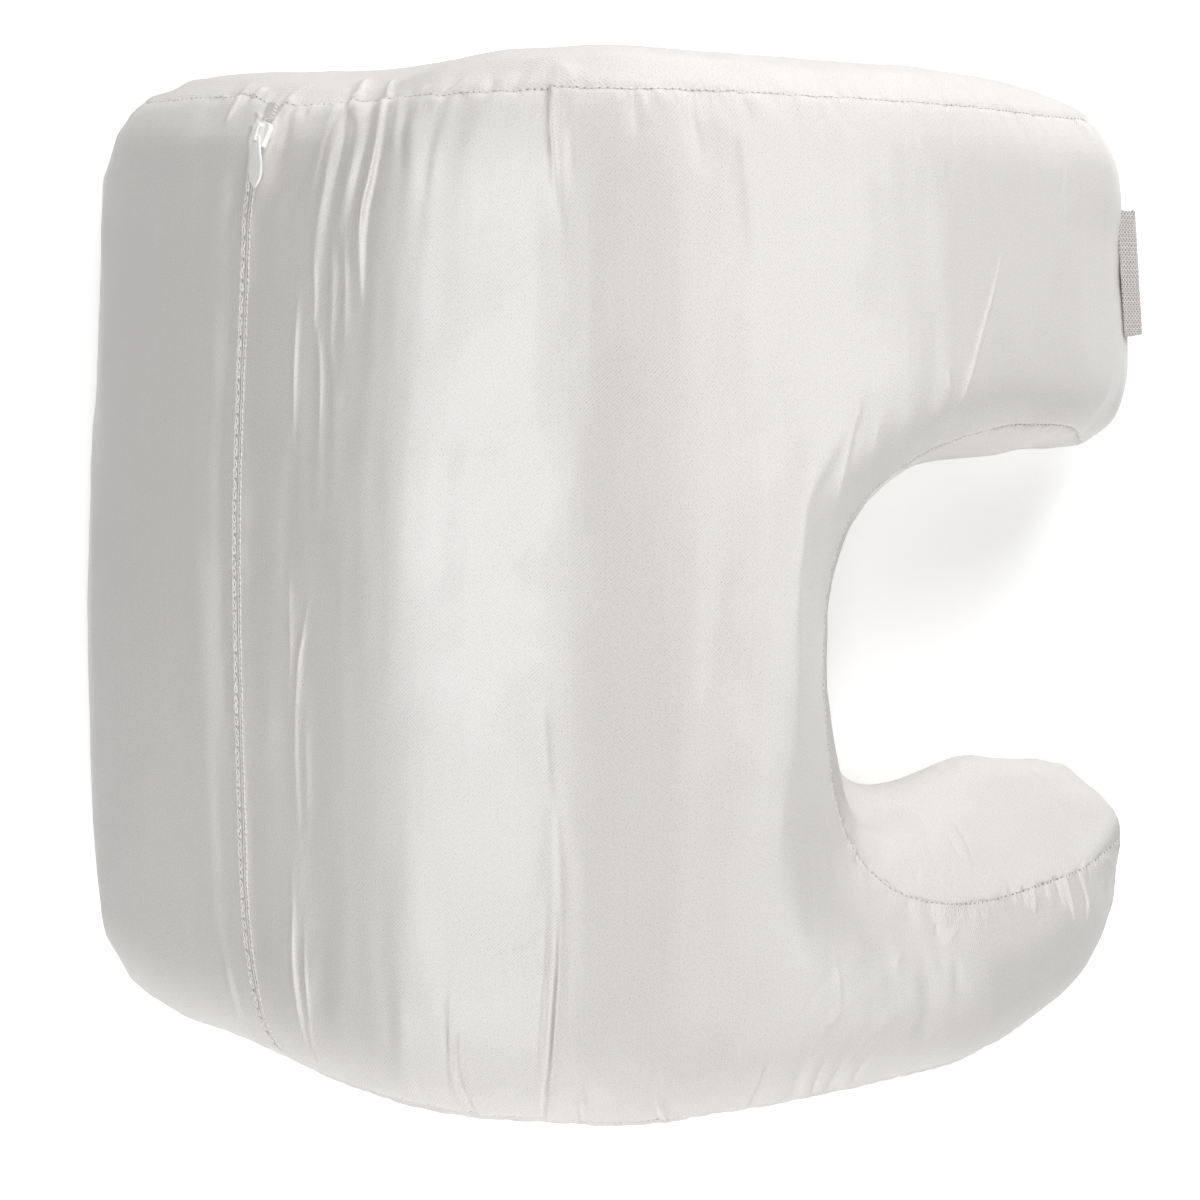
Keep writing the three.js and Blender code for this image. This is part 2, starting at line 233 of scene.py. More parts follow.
def sight_axes():
    """Right, up and ahead as the camera sees them."""
    yaw, pitch = SIGHT["yaw"], SIGHT["pitch"]
    right = Vector((math.cos(yaw), 0, math.sin(yaw)))
    level = Vector((math.sin(yaw), 0, -math.cos(yaw)))
    ahead = math.cos(pitch) * level - math.sin(pitch) * Vector((0, 1, 0))
    up = math.cos(pitch) * Vector((0, 1, 0)) + math.sin(pitch) * level
    return right, up, ahead


def seen_at(tree, x, y):
    """The point of the cover that shows at x, y in the camera's frame of 1200 px."""
    right, up, ahead = sight_axes()
    reach = SIGHT["lens"] / SENSOR * FRAME_PX
    way = ahead + right * (x - FRAME_PX / 2) / reach - up * (y - FRAME_PX / 2) / reach
    start, way = Vector(SIGHT["place"]), way.normalized()
    return tree.ray_cast(start, way)[0] or tree.find_nearest(start + 0.65 * way)[0]


# The cover's seams

class SeamLine:
    """A seam as points 1 mm apart on the cover, with its run and the cover's normal at each."""

    def __init__(self, points, tree, closed):
        path = [Vector(p) for p in points]
        if closed:
            path.append(path[0])
        even, carry = [path[0].copy()], 0.0
        for a, b in zip(path, path[1:]):
            step = (b - a).length
            while carry + step >= MM and step > 0:
                part = (MM - carry) / step
                a = a.lerp(b, part)
                even.append(a.copy())
                step = (b - a).length
                carry = 0.0
            carry += step
        points = np.array(even)
        for _ in range(4):
            middle = (np.roll(points, 1, 0) + 2 * points + np.roll(points, -1, 0)) / 4
            if not closed:
                middle[0], middle[-1] = points[0], points[-1]
            points = middle
        found = [tree.find_nearest(Vector(p))[:2] for p in points]
        self.points = np.array([place for place, _ in found])
        self.normals = np.array([normal for _, normal in found])
        ahead, behind = np.roll(self.points, -1, 0), np.roll(self.points, 1, 0)
        if not closed:
            ahead[-1], behind[0] = self.points[-1], self.points[0]
        along = ahead - behind
        self.along = along / np.linalg.norm(along, axis=1)[:, None]
        self.across = np.cross(self.normals, self.along)
        self.run = np.arange(len(self.points)) * MM

    def near(self, points, reach):
        """For the points within reach: their indices, run along the seam and signed distance from it."""
        tree = point_tree(self.points)
        low, high = self.points.min(0) - reach, self.points.max(0) + reach
        close = np.nonzero(np.all((points > low) & (points < high), axis=1))[0]
        index, nearest = [], []
        for i in close:
            _, j, distance = tree.find(points[i])
            if distance < reach:
                index.append(i)
                nearest.append(j)
        index, nearest = np.array(index, int), np.array(nearest, int)
        away = points[index] - self.points[nearest]
        side = np.einsum("ij,ij->i", away, self.across[nearest])
        run = self.run[nearest] + np.einsum("ij,ij->i", away, self.along[nearest])
        distance = np.linalg.norm(away, axis=1) * np.where(side < 0, -1, 1)
        return index, run, distance


def ring_across(mesh, place, normal, shift):
    """The closed line in which a plane, after shift has moved each point, cuts the mesh."""
    bm = bmesh.new()
    bm.from_mesh(mesh)
    for v in bm.verts:
        v.co = shift(v.co, 1)
    cut = bmesh.ops.bisect_plane(bm, geom=bm.verts[:] + bm.edges[:] + bm.faces[:], plane_co=place, plane_no=normal)
    edges = {g for g in cut["geom_cut"] if isinstance(g, bmesh.types.BMEdge)}
    start = min((v for e in edges for v in e.verts), key=lambda v: (round(v.co.z, 5), abs(v.co.x)))
    loop, vert = [], start
    while True:
        loop.append(shift(vert.co.copy(), -1))
        onward = sorted((e for e in vert.link_edges if e in edges), key=lambda e: e.other_vert(vert).co.x)
        if not onward:
            break
        edges.discard(onward[0])
        vert = onward[0].other_vert(vert)
        if vert is start:
            break
    bm.free()
    return loop


def curve_through(rows, steps=12):
    """A smooth line through the rows of a table."""
    points = [Vector(row) for row in rows]
    points = [2 * points[0] - points[1]] + points + [2 * points[-1] - points[-2]]
    line = []
    for a, b, c, d in zip(points, points[1:], points[2:], points[3:]):
        for i in range(steps):
            t = i / steps
            line.append(0.5 * (2 * b + (c - a) * t + (2 * a - 5 * b + 4 * c - d) * t * t
                               + (3 * b - a - 3 * c + d) * t ** 3))
    line.append(points[-2])
    return line


# The zip's seam down the closed side and the notch's front seam from arm to arm, seen from above in millimetres
ZIP_SEAM = ((-120.5, 157.5), (-126, 150), (-129.5, 141), (-131, 131), (-132.3, 121), (-133, 108), (-136, 61),
            (-138, 15), (-138.5, -33), (-138.5, -82), (-138, -112), (-136, -132), (-133, -148), (-128, -161))
NOTCH_SEAM = ((168, 43), (157, 49), (146, 52), (125, 53), (102, 50), (82, 44.5), (62, 33), (54.5, 24), (51, 13),
              (49, -3), (48.5, -18), (49, -31), (54, -57), (60.5, -78), (69, -92), (82, -102), (100, -108),
              (122, -110.5), (145, -110.5), (165, -109), (176, -106))
# Where the upper seam steps from one distance to the other, in metres from the middle
SEAM_STEP = (-0.131, -0.121)
# Inside the notch, to tell its wall from the outer walls, in metres
NOTCH_MIDDLE, NOTCH_FROM = Vector((0.11, -0.03, 0)), 0.03


def dropped(rows, tree):
    """Lays a line of the face's plan onto the cover from above."""
    line = curve_through([(x * MM, y * MM, 0) for x, y in rows])
    line = (tree.ray_cast(Vector((p.x, p.y, 1)), Vector((0, 0, -1)))[0] for p in line)
    return [p for p in line if p is not None]


def top_seam_at(x, sizes):
    blend = smoothstep(*SEAM_STEP, x)
    return sizes.top_seam_left + (sizes.top_seam - sizes.top_seam_left) * blend


def seam_lines(mesh, sizes):
    """Traces the cover's four seams on its mesh."""
    tree = surface_tree(mesh)

    def to_top(co, way):
        return Vector((co.x, co.y - way * float(top_seam_at(co.x, sizes)), co.z))

    def to_bottom(co, way):
        return Vector((co.x, co.y + way * sizes.bottom_seam, co.z))

    top = ring_across(mesh, (0, 0, 0), (0, 1, 0), to_top)
    bottom = ring_across(mesh, (0, 0, 0), (0, 1, 0), to_bottom)
    rear = ring_across(mesh, (0, 0, sizes.back_seam), (0, 0, 1), lambda co, way: co)
    front = dropped(NOTCH_SEAM, tree)
    return {
        "top": SeamLine(top, tree, True),
        "bottom": SeamLine(bottom, tree, True),
        "notch": SeamLine(notch_ring(front, rear, tree), tree, True),
        "zip": SeamLine(dropped(ZIP_SEAM, tree), tree, False),
    }


def notch_ring(front, rear, tree):
    """Joins the notch panel's front seam to its rear one down the tips of both arms."""
    inner = []
    for p in rear:
        normal = tree.find_nearest(p)[1]
        inward = (NOTCH_MIDDLE - p).dot(Vector((normal.x, normal.y, 0))) > 0
        inner.append(inward and p.x > NOTCH_FROM)
    start = next(i for i in range(len(rear)) if inner[i] and not inner[i - 1])
    back = []
    for i in range(len(rear)):
        j = (start + i) % len(rear)
        if not inner[j]:
            break
        back.append(rear[j])
    if (back[0] - front[-1]).length > (back[-1] - front[-1]).length:
        back.reverse()

    def down(a, b):
        line = (a.lerp(b, i / 8) for i in range(1, 8))
        line = (tree.ray_cast(Vector((1, p.y, p.z)), Vector((-1, 0, 0)))[0] for p in line)
        return [p for p in line if p is not None]

    half = len(back) // 2
    return back[half:] + down(back[-1], front[0]) + front + down(front[-1], back[0]) + back[:half]


# Creases and folds, each a row of a table: its height in millimetres, below zero where it sinks in, how far it
# spreads to its left and to its right, whether it holds its height where it starts, at a seam, or fades at both
# ends, and its path in the camera's frame of 1200 px

Crease = namedtuple("Crease", "height left right hold path")


def creases(*rows):
    return [Crease(*row[:4], row[4:]) for row in rows]


ZIP_GATHERS = creases(
    (0.9, 1.0, 0.7, 0, (276, 105), (262, 115), (255, 128), (251, 140), (249, 152), (248, 165), (247, 178)),
    (0.5, 0.6, 0.6, 0, (255, 111), (262, 118), (268, 121)),
    (0.5, 0.6, 0.5, 0, (250, 124), (256, 130), (262, 132)),
    (0.45, 0.6, 0.6, 0, (247, 138), (253, 143)),
    (-0.5, 1.0, 1.2, 0, (284, 108), (277, 122), (270, 140)),
    (0.35, 1.4, 1.8, 0, (290, 109), (283, 128), (273, 152), (270, 176)),
    (0.9, 1.3, 0.8, 1, (239, 99), (232, 112), (222, 128)),
    (0.5, 1.6, 1.8, 1, (336, 104), (328, 128), (319, 156), (313, 200)),
    (0.75, 1.5, 2.4, 1, (342, 110), (333, 140), (326, 176), (317, 236), (313, 300)),
    (0.9, 1.4, 3.2, 1, (351, 104), (357, 116), (358, 134), (350, 170), (341, 212), (334, 262)),
    (-0.5, 1.2, 1.6, 0, (346, 106), (343, 140), (338, 170), (332, 210)),
    (-0.5, 1.4, 1.4, 1, (370, 103), (368, 132), (360, 170), (350, 214)),
    (1.15, 2.4, 0.9, 1, (384, 103), (379, 136), (371, 178), (363, 216), (361, 262), (363, 330)),
    (0.4, 1.4, 2.0, 1, (398, 100), (396, 122), (390, 160)),
    (0.4, 1.0, 1.0, 0, (299, 280), (297, 312), (294, 380), (293, 470)),
    (0.35, 1.0, 1.2, 0, (309, 304), (317, 332), (320, 380), (318, 470)),
    (0.3, 1.1, 1.0, 0, (314, 244), (315, 300), (311, 360)),
    (0.35, 1.2, 1.4, 0, (331, 215), (333, 280), (331, 350), (336, 430)),
    (0.3, 1.2, 1.2, 0, (343, 230), (346, 300), (343, 380)),
    (0.35, 1.0, 1.2, 0, (310, 573), (303, 632), (298, 668), (295, 755), (301, 860)),
    (0.25, 1.2, 1.2, 0, (288, 560), (290, 640), (287, 720)),
    (0.25, 1.3, 1.3, 0, (303, 700), (307, 780), (306, 880)),
)

TOP_GATHERS = creases(
    (1.0, 2.0, 0.7, 1, (553, 88), (552, 104), (553, 124), (556, 160), (559, 200), (569, 257)),
    (-0.5, 1.3, 1.3, 1, (546, 89), (545, 110), (547, 130)),
    (0.45, 1.1, 1.4, 1, (575, 88), (573, 103), (571, 138), (572, 192)),
    (-0.6, 0.9, 1.2, 1, (633, 88), (635, 105), (637, 146)),
    (-0.35, 1.0, 1.2, 1, (647, 90), (648, 112)),
    (-0.65, 1.4, 0.9, 1, (691, 88), (694, 112), (700, 144), (704, 172)),
    (-0.3, 1.1, 1.1, 1, (717, 90), (722, 118)),
    (0.5, 1.4, 2.6, 1, (731, 92), (739, 127), (744, 170), (752, 236), (757, 300)),
    (-0.7, 1.0, 1.0, 1, (741, 91), (749, 113), (752, 140)),
    (-0.5, 1.1, 1.2, 1, (790, 92), (797, 116), (803, 150)),
    (-0.4, 1.0, 1.2, 1, (815, 94), (822, 120), (825, 140)),
    (-0.35, 1.2, 1.4, 1, (840, 96), (846, 130), (846, 170)),
    (-0.3, 1.4, 1.4, 1, (905, 102), (914, 130), (918, 170)),
    (-0.5, 1.2, 1.0, 1, (945, 104), (953, 130), (956, 158)),
    (-0.4, 1.0, 1.0, 1, (962, 105), (968, 124)),
    (-0.5, 1.1, 1.3, 1, (980, 107), (987, 130), (990, 160)),
    (-0.5, 1.0, 1.2, 1, (998, 108), (1008, 136)),
    (-0.55, 1.2, 1.2, 1, (1015, 110), (1028, 140), (1034, 176)),
    (-0.45, 1.1, 1.1, 1, (1034, 113), (1046, 138)),
    (0.35, 0.9, 0.9, 0, (1070, 150), (1064, 190), (1060, 250)),
    (-0.4, 1.6, 1.6, 0, (951, 160), (949, 176), (952, 190)),
    (0.5, 0.9, 0.9, 0, (1010, 226), (996, 280), (980, 340), (969, 381), (961, 401), (945, 419), (927, 435)),
    (0.3, 0.9, 0.9, 0, (948, 368), (950, 392)),
    (0.3, 0.9, 0.9, 0, (964, 420), (956, 432)),
    (-0.35, 2.6, 1.8, 1, (444, 96), (433, 131), (426, 172), (424, 230)),
    (-0.3, 2.0, 1.6, 1, (406, 100), (402, 140), (404, 190)),
)

NOTCH_FOLDS = creases(
    (-1.4, 3.0, 3.0, 0, (866, 806), (862, 822), (856, 842)),
    (0.3, 1.2, 1.2, 1, (986, 884), (988, 912), (986, 930)),
    (-0.4, 1.0, 1.0, 1, (1012, 888), (1014, 906)),
    (0.35, 1.3, 1.8, 0, (800, 1080), (818, 1040), (850, 1004), (890, 975), (930, 955)),
    (0.3, 1.3, 1.8, 0, (838, 1078), (866, 1040), (902, 1012), (944, 996)),
    (0.3, 1.2, 1.6, 0, (868, 1074), (896, 1046), (930, 1030)),
    (-0.3, 1.6, 1.6, 0, (790, 1040), (812, 1000), (838, 968), (872, 946)),
    (1.5, 8.0, 3.4, 0, (866, 372), (848, 420), (822, 462), (805, 500), (799, 540), (796, 592), (797, 660),
     (796, 706), (800, 738), (807, 774), (817, 813)),
    (0.5, 0.9, 1.2, 0, (860, 388), (853, 426), (847, 456), (841, 488), (835, 528)),
    (0.3, 0.9, 0.9, 0, (859, 400), (859, 428)),
    (0.3, 0.9, 0.9, 0, (879, 422), (874, 447)),
    (-0.45, 1.0, 1.0, 0, (798, 592), (812, 589), (828, 583)),
    (-0.35, 1.0, 1.0, 0, (800, 556), (815, 549), (834, 545)),
    (0.55, 1.4, 0.8, 0, (824, 812), (830, 852), (834, 882), (835, 896)),
    (-0.35, 1.0, 1.0, 0, (841, 845), (846, 868), (852, 886)),
    (-0.35, 0.9, 0.9, 0, (855, 862), (862, 884)),
    (-1.3, 2.0, 2.6, 1, (946, 763), (954, 770), (968, 782)),
    (-0.55, 1.0, 2.4, 0, (851, 799), (883, 800), (915, 812), (927, 835), (927, 862), (921, 893)),
    (-0.6, 1.0, 2.0, 0, (941, 812), (959, 828), (970, 851), (974, 876), (972, 893)),
    (-0.8, 0.9, 1.2, 0, (948, 832), (958, 851), (962, 864)),
    (-0.8, 1.4, 1.2, 0, (919, 858), (916, 889)),
    (-0.7, 1.2, 1.2, 0, (938, 856), (941, 894)),
    (0.5, 1.2, 1.2, 0, (928, 846), (929, 893)),
    (-0.6, 1.1, 1.1, 0, (955, 866), (953, 895)),
    (-0.5, 2.8, 2.4, 0, (1005, 846), (1003, 886)),
    (-0.35, 2.0, 2.0, 0, (985, 850), (984, 890)),
    (-0.8, 4.0, 4.0, 0, (884, 838), (878, 862)),
    (-0.35, 1.4, 1.4, 0, (1023, 768), (1051, 787)),
    (-0.35, 1.3, 1.3, 0, (1053, 802), (1074, 812)),
    (-0.8, 1.0, 1.0, 1, (1024, 890), (1026, 908)),
    (0.9, 1.0, 1.0, 1, (1033, 891), (1036, 916)),
    (-0.7, 1.2, 1.0, 1, (1057, 880), (1065, 909)),
    (0.7, 1.1, 1.1, 1, (1066, 878), (1076, 920), (1079, 926)),
    (-0.7, 1.1, 1.1, 1, (1079, 876), (1087, 901), (1085, 928)),
    (0.5, 1.0, 1.0, 1, (1097, 864), (1102, 884)),
    (0.4, 1.0, 1.0, 1, (1106, 856), (1112, 868), (1111, 884)),
    (-0.8, 0.9, 0.9, 1, (1045, 886), (1049, 903)),
    (0.22, 1.1, 0.9, 0, (964, 919), (952, 936), (943, 952), (941, 964)),
    (-0.3, 1.0, 1.0, 0, (938, 921), (936, 938)),
    (0.25, 1.0, 1.0, 0, (905, 950), (890, 970)),
    (-0.3, 1.6, 1.6, 0, (957, 960), (956, 998)),
    (0.35, 1.6, 1.0, 0, (835, 949), (840, 991), (836, 1016), (814, 1032), (805, 1047)),
)

BOTTOM_PLEATS = creases(
    (0.6, 1.6, 2.4, 1, (246, 1034), (234, 1000), (222, 950), (212, 905)),
    (0.55, 0.9, 1.0, 1, (328, 1072), (308, 1047), (298, 1005), (293, 957), (293, 900), (290, 840)),
    (0.45, 0.9, 0.9, 1, (320, 1062), (312, 1040), (308, 1005), (305, 964), (305, 900)),
    (0.5, 2.2, 2.6, 1, (416, 1098), (402, 1060), (396, 1030)),
    (0.7, 0.9, 1.0, 1, (466, 1112), (454, 1085), (451, 1053), (450, 1005), (450, 960)),
    (0.7, 0.9, 0.9, 1, (482, 1115), (467, 1088), (461, 1059), (460, 1005)),
    (-0.9, 1.3, 1.3, 1, (474, 1116), (462, 1092), (456, 1066)),
    (0.5, 0.9, 0.8, 1, (534, 1122), (539, 1043), (542, 996), (545, 948), (546, 900), (548, 840)),
    (-1.1, 2.0, 1.8, 1, (541, 1122), (546, 1056), (550, 996), (553, 948), (554, 900), (553, 850)),
    (0.9, 0.9, 1.1, 1, (547, 1122), (552, 1072), (556, 1027), (560, 964), (561, 900), (558, 830), (550, 768)),
    (0.7, 0.9, 0.8, 1, (580, 1122), (576, 1104), (579, 1079)),
    (0.7, 0.8, 0.9, 1, (586, 1124), (582, 1091), (580, 1070)),
    (-0.8, 0.9, 0.9, 1, (583, 1124), (579, 1098)),
    (0.9, 0.9, 1.1, 1, (666, 1122), (660, 1107), (657, 1091), (657, 1047)),
    (-0.9, 1.2, 1.0, 1, (660, 1122), (655, 1100), (654, 1070)),
    (0.4, 0.9, 0.9, 0, (664, 1096), (664, 1050)),
    (0.8, 1.2, 1.4, 1, (742, 1108), (752, 1096), (762, 1072), (770, 1040)),
    (0.35, 0.9, 0.9, 0, (733, 1090), (732, 1066), (730, 1040)),
    (-0.7, 1.6, 1.4, 1, (752, 1104), (768, 1066), (782, 1034)),
    (-1.0, 1.8, 2.0, 1, (795, 1096), (806, 1062), (813, 1040)),
    (-0.7, 1.2, 1.2, 1, (813, 1092), (822, 1070), (829, 1050)),
    (-0.9, 1.5, 1.5, 1, (831, 1088), (841, 1068), (850, 1050)),
    (-0.7, 1.2, 1.2, 1, (854, 1080), (869, 1058)),
    (0.35, 1.0, 1.2, 0, (542, 692), (545, 725), (548, 768), (550, 820)),
)

END_PANEL_FOLDS = creases(
    (1.2, 6.0, 1.6, 1, (554, 88), (557, 70), (560, 54)),
    (0.4, 1.2, 1.2, 0, (563, 64), (570, 76), (576, 86)),
    (1.5, 1.2, 2.6, 1, (359, 98), (364, 86), (370, 76)),
    (1.2, 0.9, 1.4, 1, (388, 97), (394, 78)),
    (1.2, 1.6, 1.6, 1, (242, 94), (255, 83)),
    (1.0, 1.2, 1.4, 1, (257, 95), (268, 86)),
    (1.4, 2.0, 1.8, 1, (288, 103), (300, 92), (313, 84)),
    (-0.9, 1.6, 1.4, 1, (270, 99), (281, 86)),
    (-1.0, 2.6, 2.0, 1, (440, 90), (470, 66)),
    (-0.9, 2.4, 2.0, 1, (486, 88), (502, 62)),
    (-1.0, 2.6, 2.4, 1, (512, 87), (533, 58)),
)

# Where the filled cover stands off the foam or, below zero, lies closer to it: a place in the same frame, and
# height and reach in millimetres
Swell = namedtuple("Swell", "x y height reach")

SWELLS = [Swell(*row) for row in (
    (142, 120, 2.6, 18), (104, 320, 1.3, 60), (100, 600, 2.2, 50), (106, 800, 3.3, 50), (122, 930, 1.0, 25),
    (366, 72, -5.0, 26), (352, 62, -4.5, 30), (600, 50, 1.0, 12), (830, 64, -2.2, 42), (1086, 140, 4.2, 20),
    (1108, 190, 2.0, 16), (1116, 418, -5.5, 15), (990, 442, 4.6, 18), (854, 785, -7.0, 15), (930, 782, 1.5, 12),
    (965, 776, 7.0, 14), (1005, 770, 3.5, 14), (1044, 766, 2.2, 10), (1070, 772, -2.2, 11), (1102, 820, 5.0, 13),
    (350, 1070, 3.0, 40), (450, 1098, 1.5, 30), (985, 1030, 4.0, 34), (1080, 955, 2.5, 25),
)]

HAND_PLACED = ZIP_GATHERS + TOP_GATHERS + NOTCH_FOLDS + BOTTOM_PLEATS + END_PANEL_FOLDS

# How many widths away a crease ends, the shares of its path over which it rises and fades, and the shortest step
WIDTHS_TO_NOTHING, FADE_IN, FADE_OUT, NO_STEP = 2.6, 0.3, 0.55, 1e-7

# The small gathers beside a seam, as ranges: spacing and width in millimetres, depth and length as shares, and how
# they lean and bend away from square to the seam
GATHER = {"spacing": (2.5, 8.5), "depth": (0.15, 1), "width": (0.8, 1.9), "length": (0.35, 1.2), "lean": (-0.5, 0.5),
          "bend": (-12, 12)}
# A power that makes most of them shallow, how much wider they are at their end, and the seam's edge before them
GATHER_SHALLOW, GATHER_FLARE, SEAM_EDGE = 1.6, 1.4, 0.8 * MM

# How each seam pulls: its groove's and its gathers' depth as shares, and how far its gathers reach in millimetres
Pull = namedtuple("Pull", "groove gather reach")
PULLS = {"top": Pull(0.7, 0.8, 16), "bottom": Pull(1.6, 0.6, 22), "notch": Pull(0.55, 0.7, 11),
         "zip": Pull(0.35, 0.35, 8)}

# The long soft waves of slack cloth: waves per metre across and along the pillow, a shift, and their share
Waves = namedtuple("Waves", "across along shift share")
SLACK = (Waves(70, 9, 3, 1.0), Waves(190, 22, 7, 0.5))

# How far from the zip and from the other seams their stitches and crinkles show, and a distance that is far from all
BY_ZIP, BY_SEAM, NOWHERE = 9 * MM, 12 * MM, 100 * MM
# Where the cloth beside a seam stands up highest, and over what width
PUFF_AT, PUFF_WIDTH = 5 * MM, 4 * MM

# The finished cover's seams, which the threads follow
SEWN = {}


def laid_path(crease, tree):
    """The crease's path on the cover, as a smooth row of points."""
    line = curve_through([(x, y, 0) for x, y in crease.path], steps=16)
    return np.array([seen_at(tree, p.x, p.y) for p in line])


def crease_heights(points, normals, paths):
    """How far the creases lift each point."""
    lift = np.zeros(len(points))
    for crease, path in zip(HAND_PLACED, paths):
        reach = WIDTHS_TO_NOTHING * max(crease.left, crease.right) * MM
        low, high = path.min(0) - reach, path.max(0) + reach
        near = np.nonzero(np.all((points > low) & (points < high), axis=1))[0]
        best = np.full(len(near), np.inf)
        side, along = np.zeros(len(near)), np.zeros(len(near))
        run = run_along(path)
        for i, step in enumerate(np.linalg.norm(np.diff(path, axis=0), axis=1)):
            if step < NO_STEP:
                continue
            way = (path[i + 1] - path[i]) / step
            away = points[near] - path[i]
            t = np.clip(away @ way, 0, step)
            offset = away - t[:, None] * way
            distance = np.linalg.norm(offset, axis=1)
            closer = distance < best
            best[closer] = distance[closer]
            along[closer] = (run[i] + t[closer]) / run[-1]
            right = np.cross(way, normals[near][closer])
            side[closer] = np.einsum("ij,ij->i", offset[closer], -right)
        width = np.where(side > 0, crease.right, crease.left) * MM
        fade = smoothstep(0, FADE_OUT, 1 - along)
        if not crease.hold:
            fade = fade * smoothstep(0, FADE_IN, along)
        lift[near] += crease.height * MM * fade * bell(best, width)
    return lift


def gathers(run, away, seam_length, seed, reach, depth):
    """Small uneven gathers that a seam's thread pulls into the cloth beside it."""
    dice = random.Random(seed)
    lift = np.zeros(len(run))
    far = np.abs(away)
    place = 0.0
    while place < seam_length:
        place += dice.uniform(*GATHER["spacing"]) * MM
        height = -depth * dice.uniform(*GATHER["depth"]) ** GATHER_SHALLOW
        width = dice.uniform(*GATHER["width"]) * MM
        length_here = reach * dice.uniform(*GATHER["length"])
        lean, bend = dice.uniform(*GATHER["lean"]), dice.uniform(*GATHER["bend"])
        middle = place + lean * far + bend * far ** 2
        spread = width * (1 + GATHER_FLARE * far / length_here)
        start = 1 - bell(far, SEAM_EDGE)
        lift += height * start * bell(far, length_here) * bell(run - middle, spread)
    return lift


def inside_outline(points, outline):
    """Which points lie inside an outline of the plan."""
    x, y = points[:, 0], points[:, 1]
    inside = np.zeros(len(points), bool)
    for (ax, ay), (bx, by) in zip(outline, outline[1:] + outline[:1]):
        if ay == by:
            continue
        crosses = (ay > y) != (by > y)
        inside ^= crosses & (x < ax + (y - ay) * (bx - ax) / (by - ay))
    return inside


SLEEVE, TOP_PANEL, BOTTOM_PANEL, NOTCH_PANEL = range(4)


def panels_of(points, sizes):
    """Which of the cover's four cut panels each point belongs to."""
    panel = np.full(len(points), SLEEVE)
    outline = [(x * MM, y * MM) for x, y in NOTCH_SEAM]
    outside = 0.3
    outline = [(outside, outline[0][1])] + outline + [(outside, outline[-1][1])]
    notch = inside_outline(points, outline) & (points[:, 2] > sizes.back_seam)
    panel[notch] = NOTCH_PANEL
    panel[points[:, 1] > top_seam_at(points[:, 0], sizes)] = TOP_PANEL
    panel[points[:, 1] < -sizes.bottom_seam] = BOTTOM_PANEL
    return panel


# The satin cover

FILL_FRAMES = 20
# How far from a seam the cover is held while it fills, and the heights between which the back lets go of it
SEAM_HOLDS, BACK_HOLDS = 6 * MM, (2 * MM, 12 * MM)
# Rounds in which the filled cover is brought back onto the foam, and passes that even out each
FIT_ROUNDS, EVEN_PASSES = 3, 24
# Below which width in millimetres a crease gets the finest net, and how far from their lines both finer nets reach
SHARP, FINE_REACH, FINEST_REACH = 1.3, 5 * MM, 1.3 * MM
# Where the sleeve's girth is measured, and the heights between which the back's cloth turns from flat to creased
GIRTH_AT, FLAT_BACK = (0, 0.11, 0), (0.5 * MM, 4 * MM)


def first_net(sizes):
    """The pillow's solid as an even net of faces."""
    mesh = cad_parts["pillow"].data.copy()
    bm = bmesh.new()
    bm.from_mesh(mesh)
    bmesh.ops.remove_doubles(bm, verts=bm.verts, dist=1e-5)
    bm.to_mesh(mesh)
    bm.free()
    cover = link(mesh, "satin_cover")
    net = cover.modifiers.new("net", "REMESH")
    net.mode = "VOXEL"
    net.voxel_size = sizes.net
    net.adaptivity = 0
    settle(cover)
    even = cover.modifiers.new("even", "LAPLACIANSMOOTH")
    even.iterations = 8
    even.lambda_factor = 1.0
    even.use_volume_preserve = True
    settle(cover)
    return cover


def fill_cover(cover, seams, sizes):
    """Lets pressure fill the cover between its seams, which hold."""
    start = points_of(cover.data)
    held = np.zeros(len(start))
    for seam in seams.values():
        index, _, distance = seam.near(start, 20 * MM)
        held[index] = np.maximum(held[index], bell(distance, SEAM_HOLDS))
    held = np.maximum(held, 1 - smoothstep(*BACK_HOLDS, start[:, 2]))
    slack = start - normals_of(cover.data) * (sizes.ease * (1 - held))[:, None]
    move_points(cover.data, slack)
    group = cover.vertex_groups.new(name="held")
    for i, weight in enumerate(held):
        group.add([i], float(weight), "REPLACE")
    cloth = cover.modifiers.new("fill", "CLOTH")
    cloth.settings.vertex_group_mass = "held"
    cloth.settings.use_pressure = True
    cloth.settings.uniform_pressure_force = sizes.pressure
    cloth.settings.effector_weights.gravity = 0
    cloth.collision_settings.use_collision = False
    cloth.point_cache.frame_start = 1
    cloth.point_cache.frame_end = FILL_FRAMES
    for step in range(1, FILL_FRAMES + 1):
        bpy.context.scene.frame_set(step)
    settle(cover)
    bpy.context.scene.frame_set(1)
    filled = points_of(cover.data)
    cover.vertex_groups.clear()
    move = filled - slack
    far = np.linalg.norm(move, axis=1)
    move *= np.minimum(1, sizes.swell / np.maximum(far, 1e-9))[:, None]
    stand_on_floor(cover.data, slack + move)


def refine(mesh, lines, reach):
    """Halves the faces within reach of the lines, and evens out their new points."""
    guide = point_tree([p for line in lines for p in line])
    bm = bmesh.new()
    bm.from_mesh(mesh)
    faces = [f for f in bm.faces if len(f.verts) == 4 and guide.find(f.calc_center_median())[2] < reach]
    edges = list({e for f in faces for e in f.edges})
    edges.sort(key=lambda e: e.index)
    cut = bmesh.ops.subdivide_edges(bm, edges=edges, cuts=1, use_grid_fill=True)
    fresh = [g for g in cut["geom_inner"] if isinstance(g, bmesh.types.BMVert)]
    for _ in range(3):
        bmesh.ops.smooth_vert(bm, verts=fresh, factor=0.5, use_axis_x=True, use_axis_y=True, use_axis_z=True)
    bm.to_mesh(mesh)
    bm.free()


